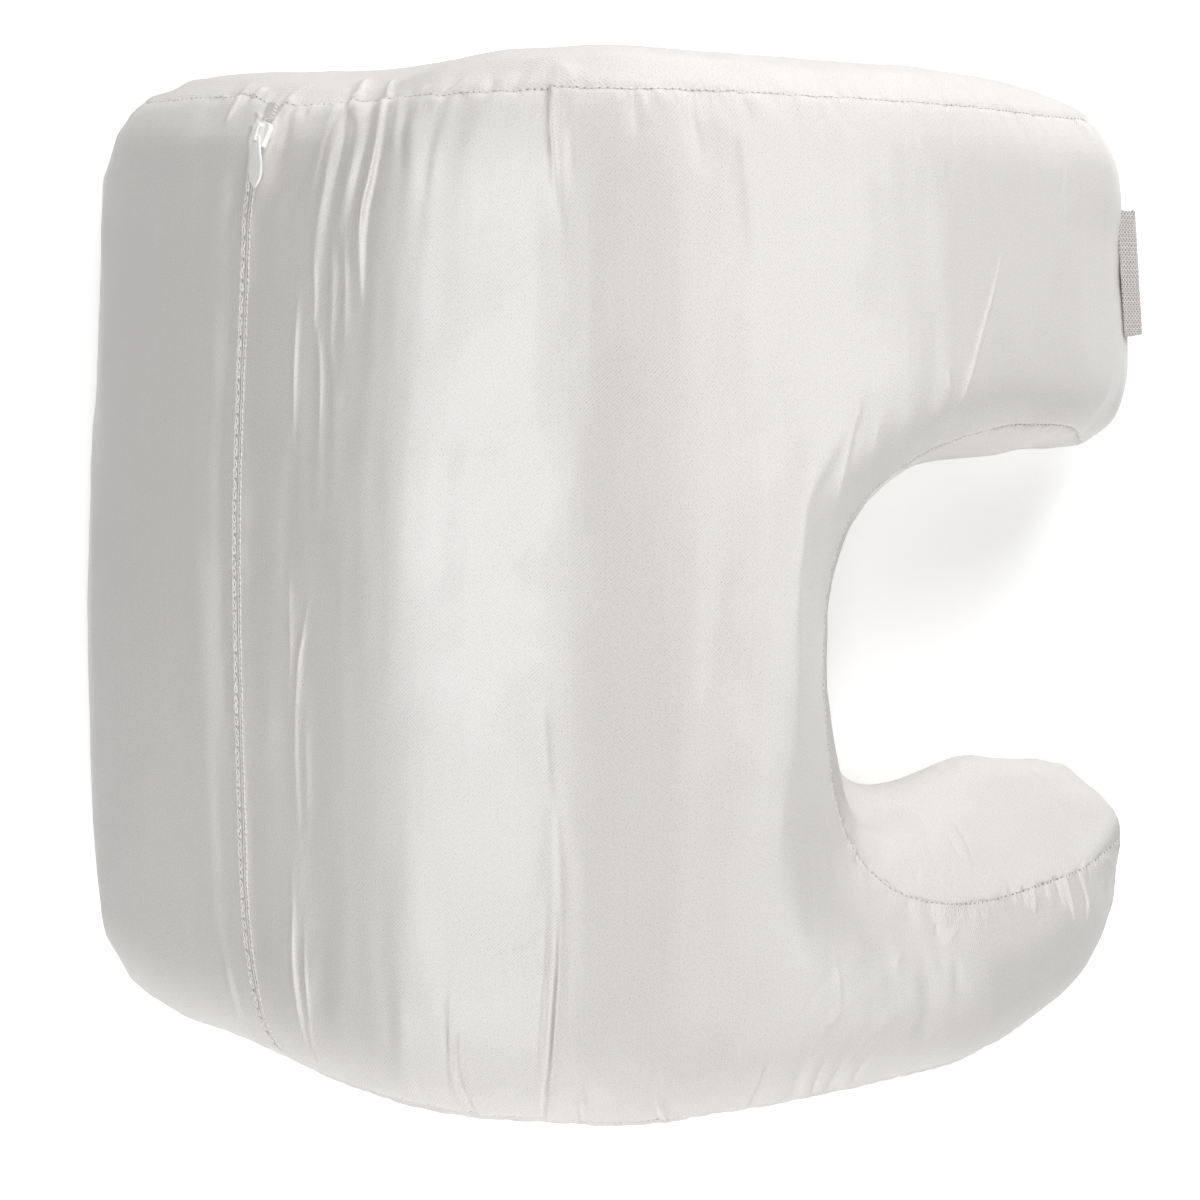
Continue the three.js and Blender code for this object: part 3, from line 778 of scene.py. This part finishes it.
def hold_to_foam(mesh, foam):
    """Brings the cover at large back onto the foam and keeps the small bulges that filling gave it."""
    ends = np.empty(len(mesh.edges) * 2, int)
    mesh.edges.foreach_get("vertices", ends)
    a, b = ends[0::2], ends[1::2]
    count = np.bincount(ends)
    for _ in range(FIT_ROUNDS):
        points = points_of(mesh)
        back = np.array([foam.find_nearest(Vector(p))[0] for p in points]) - points
        for _ in range(EVEN_PASSES):
            for axis in range(3):
                way = back[:, axis]
                near = np.bincount(a, way[b], len(way)) + np.bincount(b, way[a], len(way))
                back[:, axis] = (way + near / count) / 2
        move_points(mesh, points + back)
    tree = surface_tree(mesh)
    points, normals = points_of(mesh), normals_of(mesh)
    lift = np.zeros(len(points))
    for swell in SWELLS:
        far = np.linalg.norm(points - np.array(seen_at(tree, swell.x, swell.y)), axis=1)
        lift += swell.height * MM * bell(far, swell.reach * MM)
    stand_on_floor(mesh, points + normals * lift[:, None])


def weave_places(points, panel, girth):
    """Where each point lies on its flat panel: across the cloth and along it, in metres."""
    tree = point_tree([(p[0], 0, p[2]) for p in girth])
    run = run_along(girth)
    across = points[:, 0].copy()
    along = points[:, 1].copy()
    for i in np.nonzero(panel == SLEEVE)[0]:
        nearest = tree.find((points[i, 0], 0, points[i, 2]))[1]
        ahead = min(nearest + 1, len(girth) - 1)
        way = girth[ahead] - girth[ahead - 1]
        way = way / max(np.linalg.norm(way), 1e-9)
        off = points[i] - girth[nearest]
        across[i] = run[nearest] + off[0] * way[0] + off[2] * way[2]
    ends = (panel == TOP_PANEL) | (panel == BOTTOM_PANEL)
    along[ends] = points[ends, 2]
    notch = panel == NOTCH_PANEL
    along[notch] = points[notch, 2]
    across[notch] = points[notch, 0] - points[notch, 1]
    return across, along


def write_weave(mesh, across, along):
    layer = mesh.uv_layers.new(name="weave")
    corners = np.empty(len(mesh.loops), int)
    mesh.loops.foreach_get("vertex_index", corners)
    flat = np.empty(len(corners) * 2)
    flat[0::2] = along[corners]
    flat[1::2] = across[corners]
    layer.data.foreach_set("uv", flat)


def write_values(mesh, name, values):
    layer = mesh.attributes.new(name, "FLOAT", "POINT")
    layer.data.foreach_set("value", values)


def spread(values, index, count, rest=0.0):
    full = np.full(count, rest)
    full[index] = values
    return full


def write_zip(mesh, seam, index, run, away):
    """Writes how far each point lies from the zip's seam and along it, and how near it is."""
    count = len(mesh.vertices)
    by_zip = np.exp(-(away / BY_ZIP) ** 4) * smoothstep(-MM, MM, run)
    by_zip *= 1 - smoothstep(-MM, MM, run - seam.run[-1])
    write_values(mesh, "zip_away", spread(away, index, count, NOWHERE))
    write_values(mesh, "zip_run", spread(run, index, count))
    write_values(mesh, "by_zip", spread(by_zip, index, count))


def press_seams(mesh, seams, points, sizes):
    """How far the seams and their gathers lift each point."""
    lift = np.zeros(len(points))
    seam_away, seam_run = np.full(len(points), NOWHERE), np.zeros(len(points))
    for seed, (name, seam) in enumerate(seams.items()):
        pull = PULLS[name]
        index, run, away = seam.near(points, 40 * MM)
        far = np.abs(away)
        lift[index] -= pull.groove * sizes.groove * bell(far, sizes.groove_width)
        if name == "zip":
            write_zip(mesh, seam, index, run, away)
        else:
            lift[index] += pull.groove * sizes.puff * bell(far - PUFF_AT, PUFF_WIDTH)
            closer = far < np.abs(seam_away[index])
            seam_away[index[closer]] = away[closer]
            seam_run[index[closer]] = run[closer]
        for side in (False, True):
            here = (away > 0) == side
            lift[index[here]] += gathers(run[here], away[here], seam.run[-1], 11 + 2 * seed + side,
                                         pull.reach * MM, pull.gather * sizes.gather)
    write_values(mesh, "seam_away", seam_away)
    write_values(mesh, "by_seam", np.exp(-(seam_away / BY_SEAM) ** 4))
    write_values(mesh, "seam_run", seam_run)
    return lift


def sew_and_crease(cover, sizes):
    """Presses the seams, gathers, folds and slack into the filled cover."""
    mesh = cover.data
    tree = surface_tree(mesh)
    seams = seam_lines(mesh, sizes)
    paths = [laid_path(crease, tree) for crease in HAND_PLACED]
    sharp = [path for crease, path in zip(HAND_PLACED, paths) if min(crease.left, crease.right) < SHARP]
    refine(mesh, [seams[name].points for name in ("top", "notch", "zip", "bottom")] + paths, FINE_REACH)
    refine(mesh, [seams[name].points for name in ("top", "notch")] + sharp, FINEST_REACH)
    points, normals = points_of(mesh), normals_of(mesh)
    panel = panels_of(points, sizes)
    lift = crease_heights(points, normals, paths) + press_seams(mesh, seams, points, sizes)
    for waves in SLACK:
        turns = (waves.across, waves.along, waves.across)
        soft = [noise.noise((x, y + waves.shift, z)) for x, y, z in points * turns]
        lift += sizes.slack * waves.share * np.array(soft)
    lift *= smoothstep(*FLAT_BACK, points[:, 2])
    girth = np.array(ring_across(mesh, GIRTH_AT, (0, 1, 0), lambda co, way: co))
    across, along = weave_places(points, panel, girth)
    stand_on_floor(mesh, points + normals * lift[:, None])
    write_weave(mesh, across, along)
    return seams


class PILLOW_OT_cover(bpy.types.Operator):
    """Builds the filled satin cover with its seams and creases"""
    bl_idname = "foam_pillow.cover"
    bl_label = "Satin cover"

    def execute(self, context):
        sizes = context.scene.pillow_cover
        cover = first_net(sizes)
        fill_cover(cover, seam_lines(cover.data, sizes), sizes)
        finer = cover.modifiers.new("finer", "SUBSURF")
        finer.levels = finer.render_levels = 1
        settle(cover)
        hold_to_foam(cover.data, surface_tree(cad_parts["pillow"].data))
        SEWN.update(sew_and_crease(cover, sizes))
        cover.data.shade_smooth()
        cover.data.materials.clear()
        cover.data.materials.append(satin(context.scene.pillow_satin))
        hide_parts("pillow")
        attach(cover, "root")
        return {"FINISHED"}


# Threads

class SeamSizes(bpy.types.PropertyGroup):
    pitch: length("Stitch pitch", "Distance between two stitches of a panel seam", 2.2)
    stitch: length("Stitch", "Length of thread that shows in one stitch", 1.5)
    thread: length("Thread", "Thickness of the sewing thread", 0.42)
    link: length("Chain pitch", "Distance between two links of the zip's chain stitch", 3.55)
    link_width: length("Chain width", "Width of a link", 1.45)
    link_thread: length("Chain thread", "Thickness of its thread", 0.38)


# The stitches of the zip's lip: a pitch apart and aside from its seam
LIP_STITCH, LIP_ASIDE = 1.75 * MM, 2.6 * MM
# How far the middle of a stitch and of a link stands off the cloth
STITCH_LIFT, LINK_LIFT = 0.05 * MM, 0.2 * MM
# How uneven hand-fed sewing is: a stitch's length as a share, how far it turns, and how a link turns and tilts
STITCH_LENGTH, STITCH_TURN, LINK_TURN, LINK_TILT = (0.85, 1.1), (0.05, 0.35), (0.1, 0.28), (0.02, 0.12)
# Half of a link's length as a share of the pitch
LINK_REACH = 0.39


def frame_at(place, along, normal):
    """A matrix whose x runs along the seam and whose z stands off the cloth."""
    along = (along - along.dot(normal) * normal).normalized()
    side = normal.cross(along)
    turn = Matrix((along, side, normal)).transposed().to_4x4()
    return Matrix.Translation(place) @ turn


def seam_frames(seam, tree, pitch, start=0.0, aside=0.0, lift=0.0):
    """Frames a pitch apart along a seam, set aside from it on the finished cloth."""
    frames = []
    run = start
    while run < seam.run[-1]:
        i = min(int(run / MM), len(seam.points) - 1)
        place = Vector(seam.points[i] + seam.across[i] * aside)
        place, normal, _, _ = tree.find_nearest(place)
        frames.append(frame_at(place + normal * lift, Vector(seam.along[i]), Vector(seam.normals[i])))
        run += pitch
    return frames


def finished_piece(bm, name, material):
    mesh = bpy.data.meshes.new(name)
    bm.to_mesh(mesh)
    bm.free()
    mesh.shade_smooth()
    mesh.materials.append(material)
    piece = link(mesh, name)
    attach(piece, "root")
    return piece


def copies(pattern, places):
    """One copy of the pattern at each place."""
    mesh = bpy.data.meshes.new("pattern")
    pattern.to_mesh(mesh)
    pattern.free()
    bm = bmesh.new()
    for place in places:
        bm.from_mesh(mesh)
        bm.verts.ensure_lookup_table()
        for v in bm.verts[-len(mesh.vertices):]:
            v.co = place @ v.co
    bpy.data.meshes.remove(mesh)
    return bm


def sew(name, frames, sizes, material, dice):
    """A row of short stitches, one at each frame."""
    bead = bmesh.new()
    bmesh.ops.create_uvsphere(bead, u_segments=6, v_segments=5, radius=1,
                              matrix=Matrix.Rotation(math.pi / 2, 4, "Y"))
    places = []
    for frame_here in frames:
        half, thick = sizes.stitch / 2 * dice.uniform(*STITCH_LENGTH), sizes.thread / 2
        turn = Matrix.Rotation(dice.uniform(*STITCH_TURN), 4, "Z")
        places.append(frame_here @ turn @ Matrix.Diagonal((half, thick, thick, 1)))
    return finished_piece(copies(bead, places), name, material)


class PILLOW_OT_seams(bpy.types.Operator):
    """Sews the stitches that show along the panels' seams"""
    bl_idname = "foam_pillow.seams"
    bl_label = "Panel seams"

    def execute(self, context):
        sizes = context.scene.pillow_seams
        cover = bpy.data.objects["satin_cover"]
        tree = surface_tree(cover.data)
        material = thread(context.scene.pillow_satin)
        dice = random.Random(5)
        for name in ("top", "bottom", "notch"):
            frames = seam_frames(SEWN[name], tree, sizes.pitch, lift=STITCH_LIFT)
            sew(name + "_seam_thread", frames, sizes, material, dice)
        return {"FINISHED"}


def chain_link(sizes):
    """One oval link of thread, lying in the plane of the cloth."""
    bm = bmesh.new()
    bmesh.ops.create_circle(bm, segments=5, radius=sizes.link_thread / 2)
    bmesh.ops.rotate(bm, verts=bm.verts, cent=(0, 0, 0), matrix=Matrix.Rotation(math.pi / 2, 3, "X"))
    half = sizes.link_width / 2 - sizes.link_thread / 2
    bmesh.ops.translate(bm, verts=bm.verts, vec=(half, 0, 0))
    bmesh.ops.spin(bm, geom=bm.verts[:] + bm.edges[:], cent=(0, 0, 0), axis=(0, 0, 1), angle=2 * math.pi, steps=12,
                   use_merge=True)
    bmesh.ops.remove_doubles(bm, verts=bm.verts, dist=1e-6)
    long = LINK_REACH * sizes.link / half
    bmesh.ops.scale(bm, verts=bm.verts, vec=(1, long, 1))
    bmesh.ops.rotate(bm, verts=bm.verts, cent=(0, 0, 0), matrix=Matrix.Rotation(math.pi / 2, 3, "Z"))
    bmesh.ops.recalc_face_normals(bm, faces=bm.faces)
    return bm


class PILLOW_OT_zip_seam(bpy.types.Operator):
    """Lays the chain stitch and the lip's stitches down the closed zip"""
    bl_idname = "foam_pillow.zip_seam"
    bl_label = "Zip seam"

    def execute(self, context):
        sizes = context.scene.pillow_seams
        cover = bpy.data.objects["satin_cover"]
        tree = surface_tree(cover.data)
        material = thread(context.scene.pillow_satin)
        seam = SEWN["zip"]
        start = next(run for run, p in zip(seam.run, seam.points) if p[1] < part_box("zip_pull")[0].y + 4 * MM)
        dice = random.Random(9)
        places = []
        for place in seam_frames(seam, tree, sizes.link, start, lift=LINK_LIFT):
            places.append(place @ Matrix.Rotation(dice.uniform(*LINK_TURN), 4, "Z")
                          @ Matrix.Rotation(dice.uniform(*LINK_TILT), 4, "Y"))
        finished_piece(copies(chain_link(sizes), places), "zip_chain_stitch", material)
        frames = seam_frames(seam, tree, LIP_STITCH, start, aside=LIP_ASIDE, lift=STITCH_LIFT)
        sew("zip_lip_thread", frames, sizes, material, dice)
        return {"FINISHED"}


# The elastic tape and the zip

class TapeSizes(bpy.types.PropertyGroup):
    width: length("Width", "Width of the flat tape", 45)
    reach: length("Length", "Length of the flat tape between its seams", 57)
    thickness: length("Thickness", "Thickness of the tape", 0.9)
    rib: length("Rib", "Distance between two ribs of the knit", 1.9)
    rib_height: length("Rib height", "Height of a rib", 0.16)
    inset: length("Inset", "How far the tape stays inside its solid at each side", 0.4)
    near_tuck: length("Upper tuck", "How far its upper end is pulled in to the arm", 4.4)
    far_tuck: length("Lower tuck", "How far its lower end is pulled in to the arm", 3.6)
    yarn: tint("Yarn", "Colour of the elastic's yarn", (0.7, 0.67, 0.65))
    fleck: tint("Fleck", "Colour of its darker flecks", (0.14, 0.12, 0.11))


class ZipLooks(bpy.types.PropertyGroup):
    enamel: tint("Enamel", "Colour of the slider and the pull", (0.97, 0.96, 0.94))
    worn: tint("Worn enamel", "Their colour where the enamel is thin", (0.7, 0.68, 0.65))
    nylon: tint("Nylon", "Colour of the coil", (0.8, 0.78, 0.75))
    nylon_shade: tint("Nylon shade", "Its colour where it is darker", (0.66, 0.64, 0.61))


# Faces across and along the tape, and the shares of its height over which its ends are tucked in
TAPE_FACES, NEAR_END, FAR_END = (96, 48), (0, 0.24), (0.88, 1)


class PILLOW_OT_tape(bpy.types.Operator):
    """Sews the knitted elastic tape to the end of the upper arm"""
    bl_idname = "foam_pillow.tape"
    bl_label = "Elastic tape"

    def execute(self, context):
        sizes = context.scene.pillow_tape
        low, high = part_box("elastic_tape")
        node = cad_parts["elastic_tape"]
        tree = surface_tree(node.data)
        bm = bmesh.new()
        bmesh.ops.create_grid(bm, x_segments=TAPE_FACES[0], y_segments=TAPE_FACES[1], size=0.5)
        inset = sizes.inset
        for v in bm.verts:
            across, along = v.co.x + 0.5, v.co.y + 0.5
            y = low.y + inset + (high.y - low.y - 2 * inset) * across
            z = low.z + inset + (high.z - low.z - 2 * inset) * along
            place, normal = tree.ray_cast(Vector((1, y, z)), Vector((-1, 0, 0)))[:2]
            if place is None:
                place, normal = tree.find_nearest(Vector((high.x, y, z)))[:2]
            ribs = math.sin(2 * math.pi * across * sizes.width / sizes.rib)
            down = 1 - along
            tuck = sizes.near_tuck * (1 - smoothstep(*NEAR_END, down)) + sizes.far_tuck * smoothstep(*FAR_END, down)
            v.co = place + Vector((ribs * sizes.rib_height / 2 - float(tuck), 0, 0))
        bmesh.ops.solidify(bm, geom=bm.faces[:], thickness=sizes.thickness)
        bmesh.ops.recalc_face_normals(bm, faces=bm.faces)
        tape = finished_piece(bm, "knitted_tape", knit(sizes))
        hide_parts("elastic_tape")
        return {"FINISHED"}


class PILLOW_OT_zip(bpy.types.Operator):
    """Finishes the zip's slider, pull and coil"""
    bl_idname = "foam_pillow.zip"
    bl_label = "Zip"

    def execute(self, context):
        looks = context.scene.pillow_zip
        enamel = hard_trim("zip_enamel", looks.enamel, looks.worn, 0.0, (900.0, 3.0, 0.5), (1500.0, 2.0),
                           Coat_Weight=0.3)
        nylon = hard_trim("zip_nylon", looks.nylon_shade, looks.nylon, 0.6, (1200.0, 2.0, 1.0), (2500.0, 1.0))
        for name, material in (("zip_slider", enamel), ("zip_pull", enamel), ("zip_coil", nylon)):
            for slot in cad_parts[name].material_slots:
                slot.material = material
        return {"FINISHED"}


# Materials

class Signal:
    """What a node gives out. Arithmetic on it adds nodes."""

    def __init__(self, weaver, socket):
        self.weaver, self.socket = weaver, socket

    def __add__(self, other):
        return self.weaver.math("ADD", self, other)

    def __sub__(self, other):
        return self.weaver.math("SUBTRACT", self, other)

    def __mul__(self, other):
        return self.weaver.math("MULTIPLY", self, other)


class Weaver:
    """Short ways to wire a material's nodes."""

    def __init__(self, name):
        self.material = bpy.data.materials.new(name)
        self.material.use_nodes = True
        self.tree = self.material.node_tree
        self.shader = self.tree.nodes["Principled BSDF"]

    def feed(self, node, values):
        """Sets or wires the node's inputs, given by name or number."""
        for key, value in values.items():
            if isinstance(value, Signal):
                self.tree.links.new(value.socket, node.inputs[key])
            else:
                node.inputs[key].default_value = value

    def node(self, kind, values=None, **settings):
        made = self.tree.nodes.new("ShaderNode" + kind)
        for key, value in settings.items():
            setattr(made, key, value)
        self.feed(made, values or {})
        return [Signal(self, socket) for socket in made.outputs]

    def math(self, operation, a, b=0.0):
        return self.node("Math", {0: a, 1: b}, operation=operation)[0]

    def wave(self, value, pitch, shape="SINE"):
        """Minus one to one and back over each pitch."""
        return self.math(shape, value * (2 * math.pi / pitch))

    def bell(self, value, middle, width):
        """One at the middle, falling to nothing a few widths away."""
        off = self.math("DIVIDE", value - middle, width)
        return self.math("EXPONENT", off * off * -1.0)

    def attribute(self, name):
        """The mesh's attribute as it is."""
        made = self.tree.nodes.new("ShaderNodeAttribute")
        made.attribute_name = name
        return Signal(self, made.outputs["Fac"])

    def distance(self, name):
        """The mesh's attribute in millimetres."""
        return self.attribute(name) * 1000.0

    def parts(self, place):
        return self.node("SeparateXYZ", {0: place})

    def own_space(self):
        made = self.tree.nodes.new("ShaderNodeTexCoord")
        return Signal(self, made.outputs["Object"])

    def noise(self, place, scale, detail):
        """Noise from minus a half to a half."""
        return self.node("TexNoise", {"Vector": place, "Scale": scale, "Detail": detail})[0] - 0.5

    def grain(self, x, y, scale=1.0, detail=1.0):
        return self.noise(self.node("CombineXYZ", {0: x, 1: y})[0], scale, detail)

    def blend(self, factor, low, high):
        made = self.tree.nodes.new("ShaderNodeMix")
        made.data_type, made.clamp_factor = "RGBA", True
        self.feed(made, {0: factor, 6: low, 7: high})
        return Signal(self, made.outputs[2])

    def finish(self, height_mm, **values):
        """Feeds the shader, with a bump from a height in millimetres, and gives back the material."""
        bump = self.node("Bump", {"Strength": 1.0, "Distance": MM, "Height": height_mm})[0]
        self.feed(self.shader, {key.replace("_", " "): value for key, value in values.items()})
        self.feed(self.shader, {"Normal": bump})
        return self.material


def opaque(colour, light=1.0):
    return (*(min(1, light * c) for c in colour), 1)


# Needle holes of a panel's seam, waves of the zip's lip and stitches in its gaps, one every so many millimetres; the
# needle holes and the gaps' stitches set where painted shade falls darker
NEEDLE_PITCH, LIP_PITCH, GAP_PITCH = 2.2, 3.5, 1.75

# Half the width of the line that the needle leaves, and its depth, in millimetres; the line is sunk by the bump and
# also darkened with painted shade
NEEDLE_LINE, NEEDLE_DEPTH = 0.3, 0.1

# How often the satin's noises change, in turns per millimetre of cloth: the twill's wander, its weak and strong
# patches and its single threads both ways, its streaks along and across, its crinkles along a seam and away from it
WANDER, PATCHES, THREADS, STREAKS, CRINKLES = 0.12, 0.035, 1.7, (0.03, 0.9), (0.9, 0.16)


def satin(looks):
    """Woven satin: a diagonal twill, single threads, long streaks, needle holes and crinkles beside the seams, with
    painted shade along the seams' needle lines and in the zip's gaps and a painted highlight on the zip's lip.
    """
    cloth = Weaver("satin")
    along, across = (part * 1000.0 for part in cloth.parts(cloth.node("UVMap", uv_map="weave")[0])[:2])
    wander = cloth.grain(along, across, WANDER, 2.0) * looks.twill_wander
    patches = cloth.grain(along, across, PATCHES, 2.0) * looks.twill_patches + 0.75
    twill = cloth.wave(across - along + wander, math.sqrt(2) * looks.twill * 1000) * patches
    grain = cloth.grain(along, across, THREADS)
    streaks = cloth.grain(along * STREAKS[0], across * STREAKS[1], 1.0, 2.0)
    away, run, near = cloth.distance("seam_away"), cloth.distance("seam_run"), cloth.attribute("by_seam")
    crinkle = cloth.grain(run * CRINKLES[0], away * CRINKLES[1], 1.0, 2.0) * cloth.bell(away, 0.0, 7.0) * near
    stitched = cloth.bell(away, 0.0, NEEDLE_LINE) * near
    height = (twill * looks.twill_depth + grain * looks.grain_depth + streaks * looks.streak_depth
              + crinkle * looks.crinkle + zip_lips(cloth) + stitched * -NEEDLE_DEPTH)
    # Painted shade along each seam's needle line, darker at the needle holes
    seam_line_painted_shade = stitched * cloth.math("MAXIMUM", cloth.wave(run, NEEDLE_PITCH) * looks.needle_painted_shade, 0.35)
    threads = twill * looks.twill_light + grain * looks.grain_light + streaks * looks.streak_light
    # The weave's lightness, less the painted shade along the seams and beside the zip, plus the zip lip's painted
    # highlight
    light = threads + looks.light - seam_line_painted_shade - zip_painted_shade(cloth)
    woven = cloth.blend(light, opaque(looks.shade), opaque(looks.colour))
    tangent = cloth.node("Tangent", direction_type="UV_MAP", uv_map="weave")[0]
    # Where painted shade takes the lightness below nothing, the colour darkens further, towards a quarter of the
    # shade colour
    return cloth.finish(height, Base_Color=cloth.blend(light * -0.7, woven, opaque(looks.shade, 0.25)),
                        Roughness=looks.roughness, Sheen_Weight=looks.sheen, Anisotropic=looks.stretch,
                        Specular_IOR_Level=looks.gloss, Tangent=tangent)


# The folded lips beside the zip's seam, in millimetres: their distance from it, half their width and their height
ZIP_LIPS = ((0.0, 0.5, -0.2), (1.55, 0.3, 0.16), (1.1, 0.2, -0.1), (2.05, 0.2, -0.1), (-1.0, 0.4, 0.1))
# Painted shade in the gaps between them, and a painted highlight on the lip where the darkness is below nothing:
# distance, half their width, how dark they are and how much that changes with the stitches
ZIP_PAINTED_SHADES = ((0.0, 0.45, 1.5, 0), (1.08, 0.2, 0.9, 0), (2.05, 0.22, 0.6, 0.5), (3.05, 0.2, 0.4, 0.4),
            (1.55, 0.25, -0.9, 0))


def zip_lips(cloth):
    """Height of the folded lips beside the zip's seam."""
    away = cloth.distance("zip_away")
    waver = cloth.wave(cloth.distance("zip_run"), LIP_PITCH) * 0.12
    edge = cloth.bell(away + waver, 2.6, 0.28) * 0.14
    lips = [cloth.bell(away, middle, width) * height for middle, width, height in ZIP_LIPS]
    return sum(lips, edge) * cloth.attribute("by_zip")


def zip_painted_shade(cloth):
    """Painted shade between the lips and inside the chain stitch, and a painted highlight on the lip 1.55 mm from
    the seam.
    """
    away, gaps = cloth.distance("zip_away"), cloth.wave(cloth.distance("zip_run"), GAP_PITCH)
    shades = [cloth.bell(away, middle, width) * (gaps * uneven + dark) for middle, width, dark, uneven in ZIP_PAINTED_SHADES]
    return sum(shades[1:], shades[0]) * cloth.attribute("by_zip")


def thread(looks):
    """Twisted sewing thread, a little brighter than the satin."""
    made = bpy.data.materials.get("thread")
    if made:
        return made
    cord = Weaver("thread")
    x, y, z = cord.parts(cord.own_space())
    strands = cord.wave(x + y + z, looks.twist)
    colour = cord.blend(strands * 0.25 + 0.75, opaque(looks.colour, 0.95), opaque(looks.colour, 1.18))
    return cord.finish(strands * 0.02, Base_Color=colour, Roughness=0.4, Specular_IOR_Level=0.8)


# Distance between the knit's columns and its rows of loops in millimetres, and how high a loop is before it is dark
LOOP_COLUMN, LOOP_ROW, FLECK_FROM = 2.2, 1.6, 0.42


def knit(looks):
    """Knitted elastic: fine columns of loops with flecks of a darker yarn."""
    cloth = Weaver("knit_elastic")
    x, y, z = (part * 1000.0 for part in cloth.parts(cloth.own_space()))
    up = z * 0.83 - x * 0.56
    columns, rows = cloth.wave(up, LOOP_COLUMN, "COSINE"), cloth.wave(y, LOOP_ROW, "COSINE")
    fleck = cloth.math("GREATER_THAN", columns * rows + cloth.grain(y, up, 1.6), FLECK_FROM)
    colour = cloth.blend(fleck * (cloth.grain(y, up, 0.9) + 0.8), opaque(looks.yarn), opaque(looks.fleck))
    return cloth.finish(columns * 0.08 + rows * 0.06, Base_Color=colour, Roughness=0.8, Sheen_Weight=0.2)


# Height of the trim's unevenness in millimetres
TRIM_DEPTH = 0.03


def hard_trim(name, low, high, light, grain, bump, **values):
    """Enamel or nylon whose colour and bump change with two noises of a scale and a detail, and grain's share."""
    trim = Weaver(name)
    space = trim.own_space()
    colour = trim.blend(trim.noise(space, *grain[:2]) * grain[2] + light, opaque(low), opaque(high))
    return trim.finish(trim.noise(space, *bump) * TRIM_DEPTH, Base_Color=colour, Roughness=0.45, **values)


# The stage

class PILLOW_OT_stage(bpy.types.Operator):
    """Sets the floor, the lights and the camera"""
    bl_idname = "foam_pillow.stage"
    bl_label = "Stage"

    def execute(self, context):
        scene = context.scene
        looks = scene.pillow_stage
        bm = bmesh.new()
        bmesh.ops.create_grid(bm, x_segments=1, y_segments=1, size=HALF_FLOOR)
        mesh = bpy.data.meshes.new("floor")
        bm.to_mesh(mesh)
        bm.free()
        floor = link(mesh, "floor")
        pale = Weaver("floor")
        white = (looks.floor_white,) * 3
        mottle = pale.noise(pale.own_space(), 3.0, 1.0)
        pale.feed(pale.shader, {"Base Color": pale.blend(mottle + 0.9, opaque(white, 0.98), opaque(white)),
                                "Roughness": 0.9, "Emission Color": (1, 1, 1, 1),
                                "Emission Strength": looks.floor_glow})
        mesh.materials.append(pale.material)
        right, up, ahead = sight_axes()
        camera = bpy.data.cameras.new("camera")
        camera.lens = looks.lens
        camera.sensor_width = SENSOR
        holder = bpy.data.objects.new("camera", camera)
        turn = Matrix((right, up, -ahead)).transposed().to_4x4()
        holder.matrix_world = Matrix.Translation(SIGHT["place"]) @ turn
        scene.collection.objects.link(holder)
        scene.camera = holder
        scene.view_settings.view_transform = "Standard"
        world = bpy.data.worlds.new("studio")
        scene.world = world
        world.use_nodes = True
        world.node_tree.nodes["Background"].inputs["Color"].default_value = (1, 1, 1, 1)
        world.cycles_visibility.diffuse = world.cycles_visibility.glossy = False
        for lamp in LAMPS:
            light = bpy.data.lights.new(lamp.name, "AREA")
            light.shape = "RECTANGLE"
            light.size, light.size_y = lamp.width, lamp.length
            light.energy = lamp.watts * looks.power
            aside, along = math.radians(lamp.aside), math.radians(lamp.ahead)
            way = Vector((math.sin(aside) * math.cos(along), math.sin(along), math.cos(aside) * math.cos(along)))
            holder = bpy.data.objects.new(lamp.name, light)
            holder.matrix_world = (Matrix.Translation(LIT_MIDDLE + way * looks.reach)
                                   @ way.to_track_quat("Z", "Y").to_matrix().to_4x4())
            holder.visible_camera = False
            holder.visible_diffuse, holder.visible_glossy = not lamp.gloss, lamp.gloss
            scene.collection.objects.link(holder)
        return {"FINISHED"}


class PILLOW_PT_build(bpy.types.Panel):
    """Lists the pillow's pieces and their sizes"""
    bl_label = "Foam pillow"
    bl_space_type = "VIEW_3D"
    bl_region_type = "UI"
    bl_category = "Foam pillow"

    def draw(self, context):
        for operator in OPERATORS:
            self.layout.operator(operator.bl_idname)
        for name in GROUPS:
            group = getattr(context.scene, name)
            box = self.layout.box()
            for key in group.__annotations__:
                box.prop(group, key)


GROUPS = {"pillow_cover": CoverSizes, "pillow_satin": SatinLooks, "pillow_seams": SeamSizes,
          "pillow_tape": TapeSizes, "pillow_zip": ZipLooks, "pillow_stage": StageLooks}
OPERATORS = (PILLOW_OT_stage, PILLOW_OT_cover, PILLOW_OT_seams, PILLOW_OT_zip_seam, PILLOW_OT_zip,
             PILLOW_OT_tape)


def register():
    for group in GROUPS.values():
        bpy.utils.register_class(group)
    for operator in OPERATORS:
        bpy.utils.register_class(operator)
    bpy.utils.register_class(PILLOW_PT_build)
    for name, group in GROUPS.items():
        setattr(bpy.types.Scene, name, PointerProperty(type=group))


def unregister():
    for name in GROUPS:
        delattr(bpy.types.Scene, name)
    bpy.utils.unregister_class(PILLOW_PT_build)
    for operator in reversed(OPERATORS):
        bpy.utils.unregister_class(operator)
    for group in reversed(GROUPS.values()):
        bpy.utils.unregister_class(group)


def main():
    register()
    for operator in OPERATORS:
        getattr(bpy.ops.foam_pillow, operator.bl_idname.split(".")[1])()


if __name__ == "__main__":
    main()
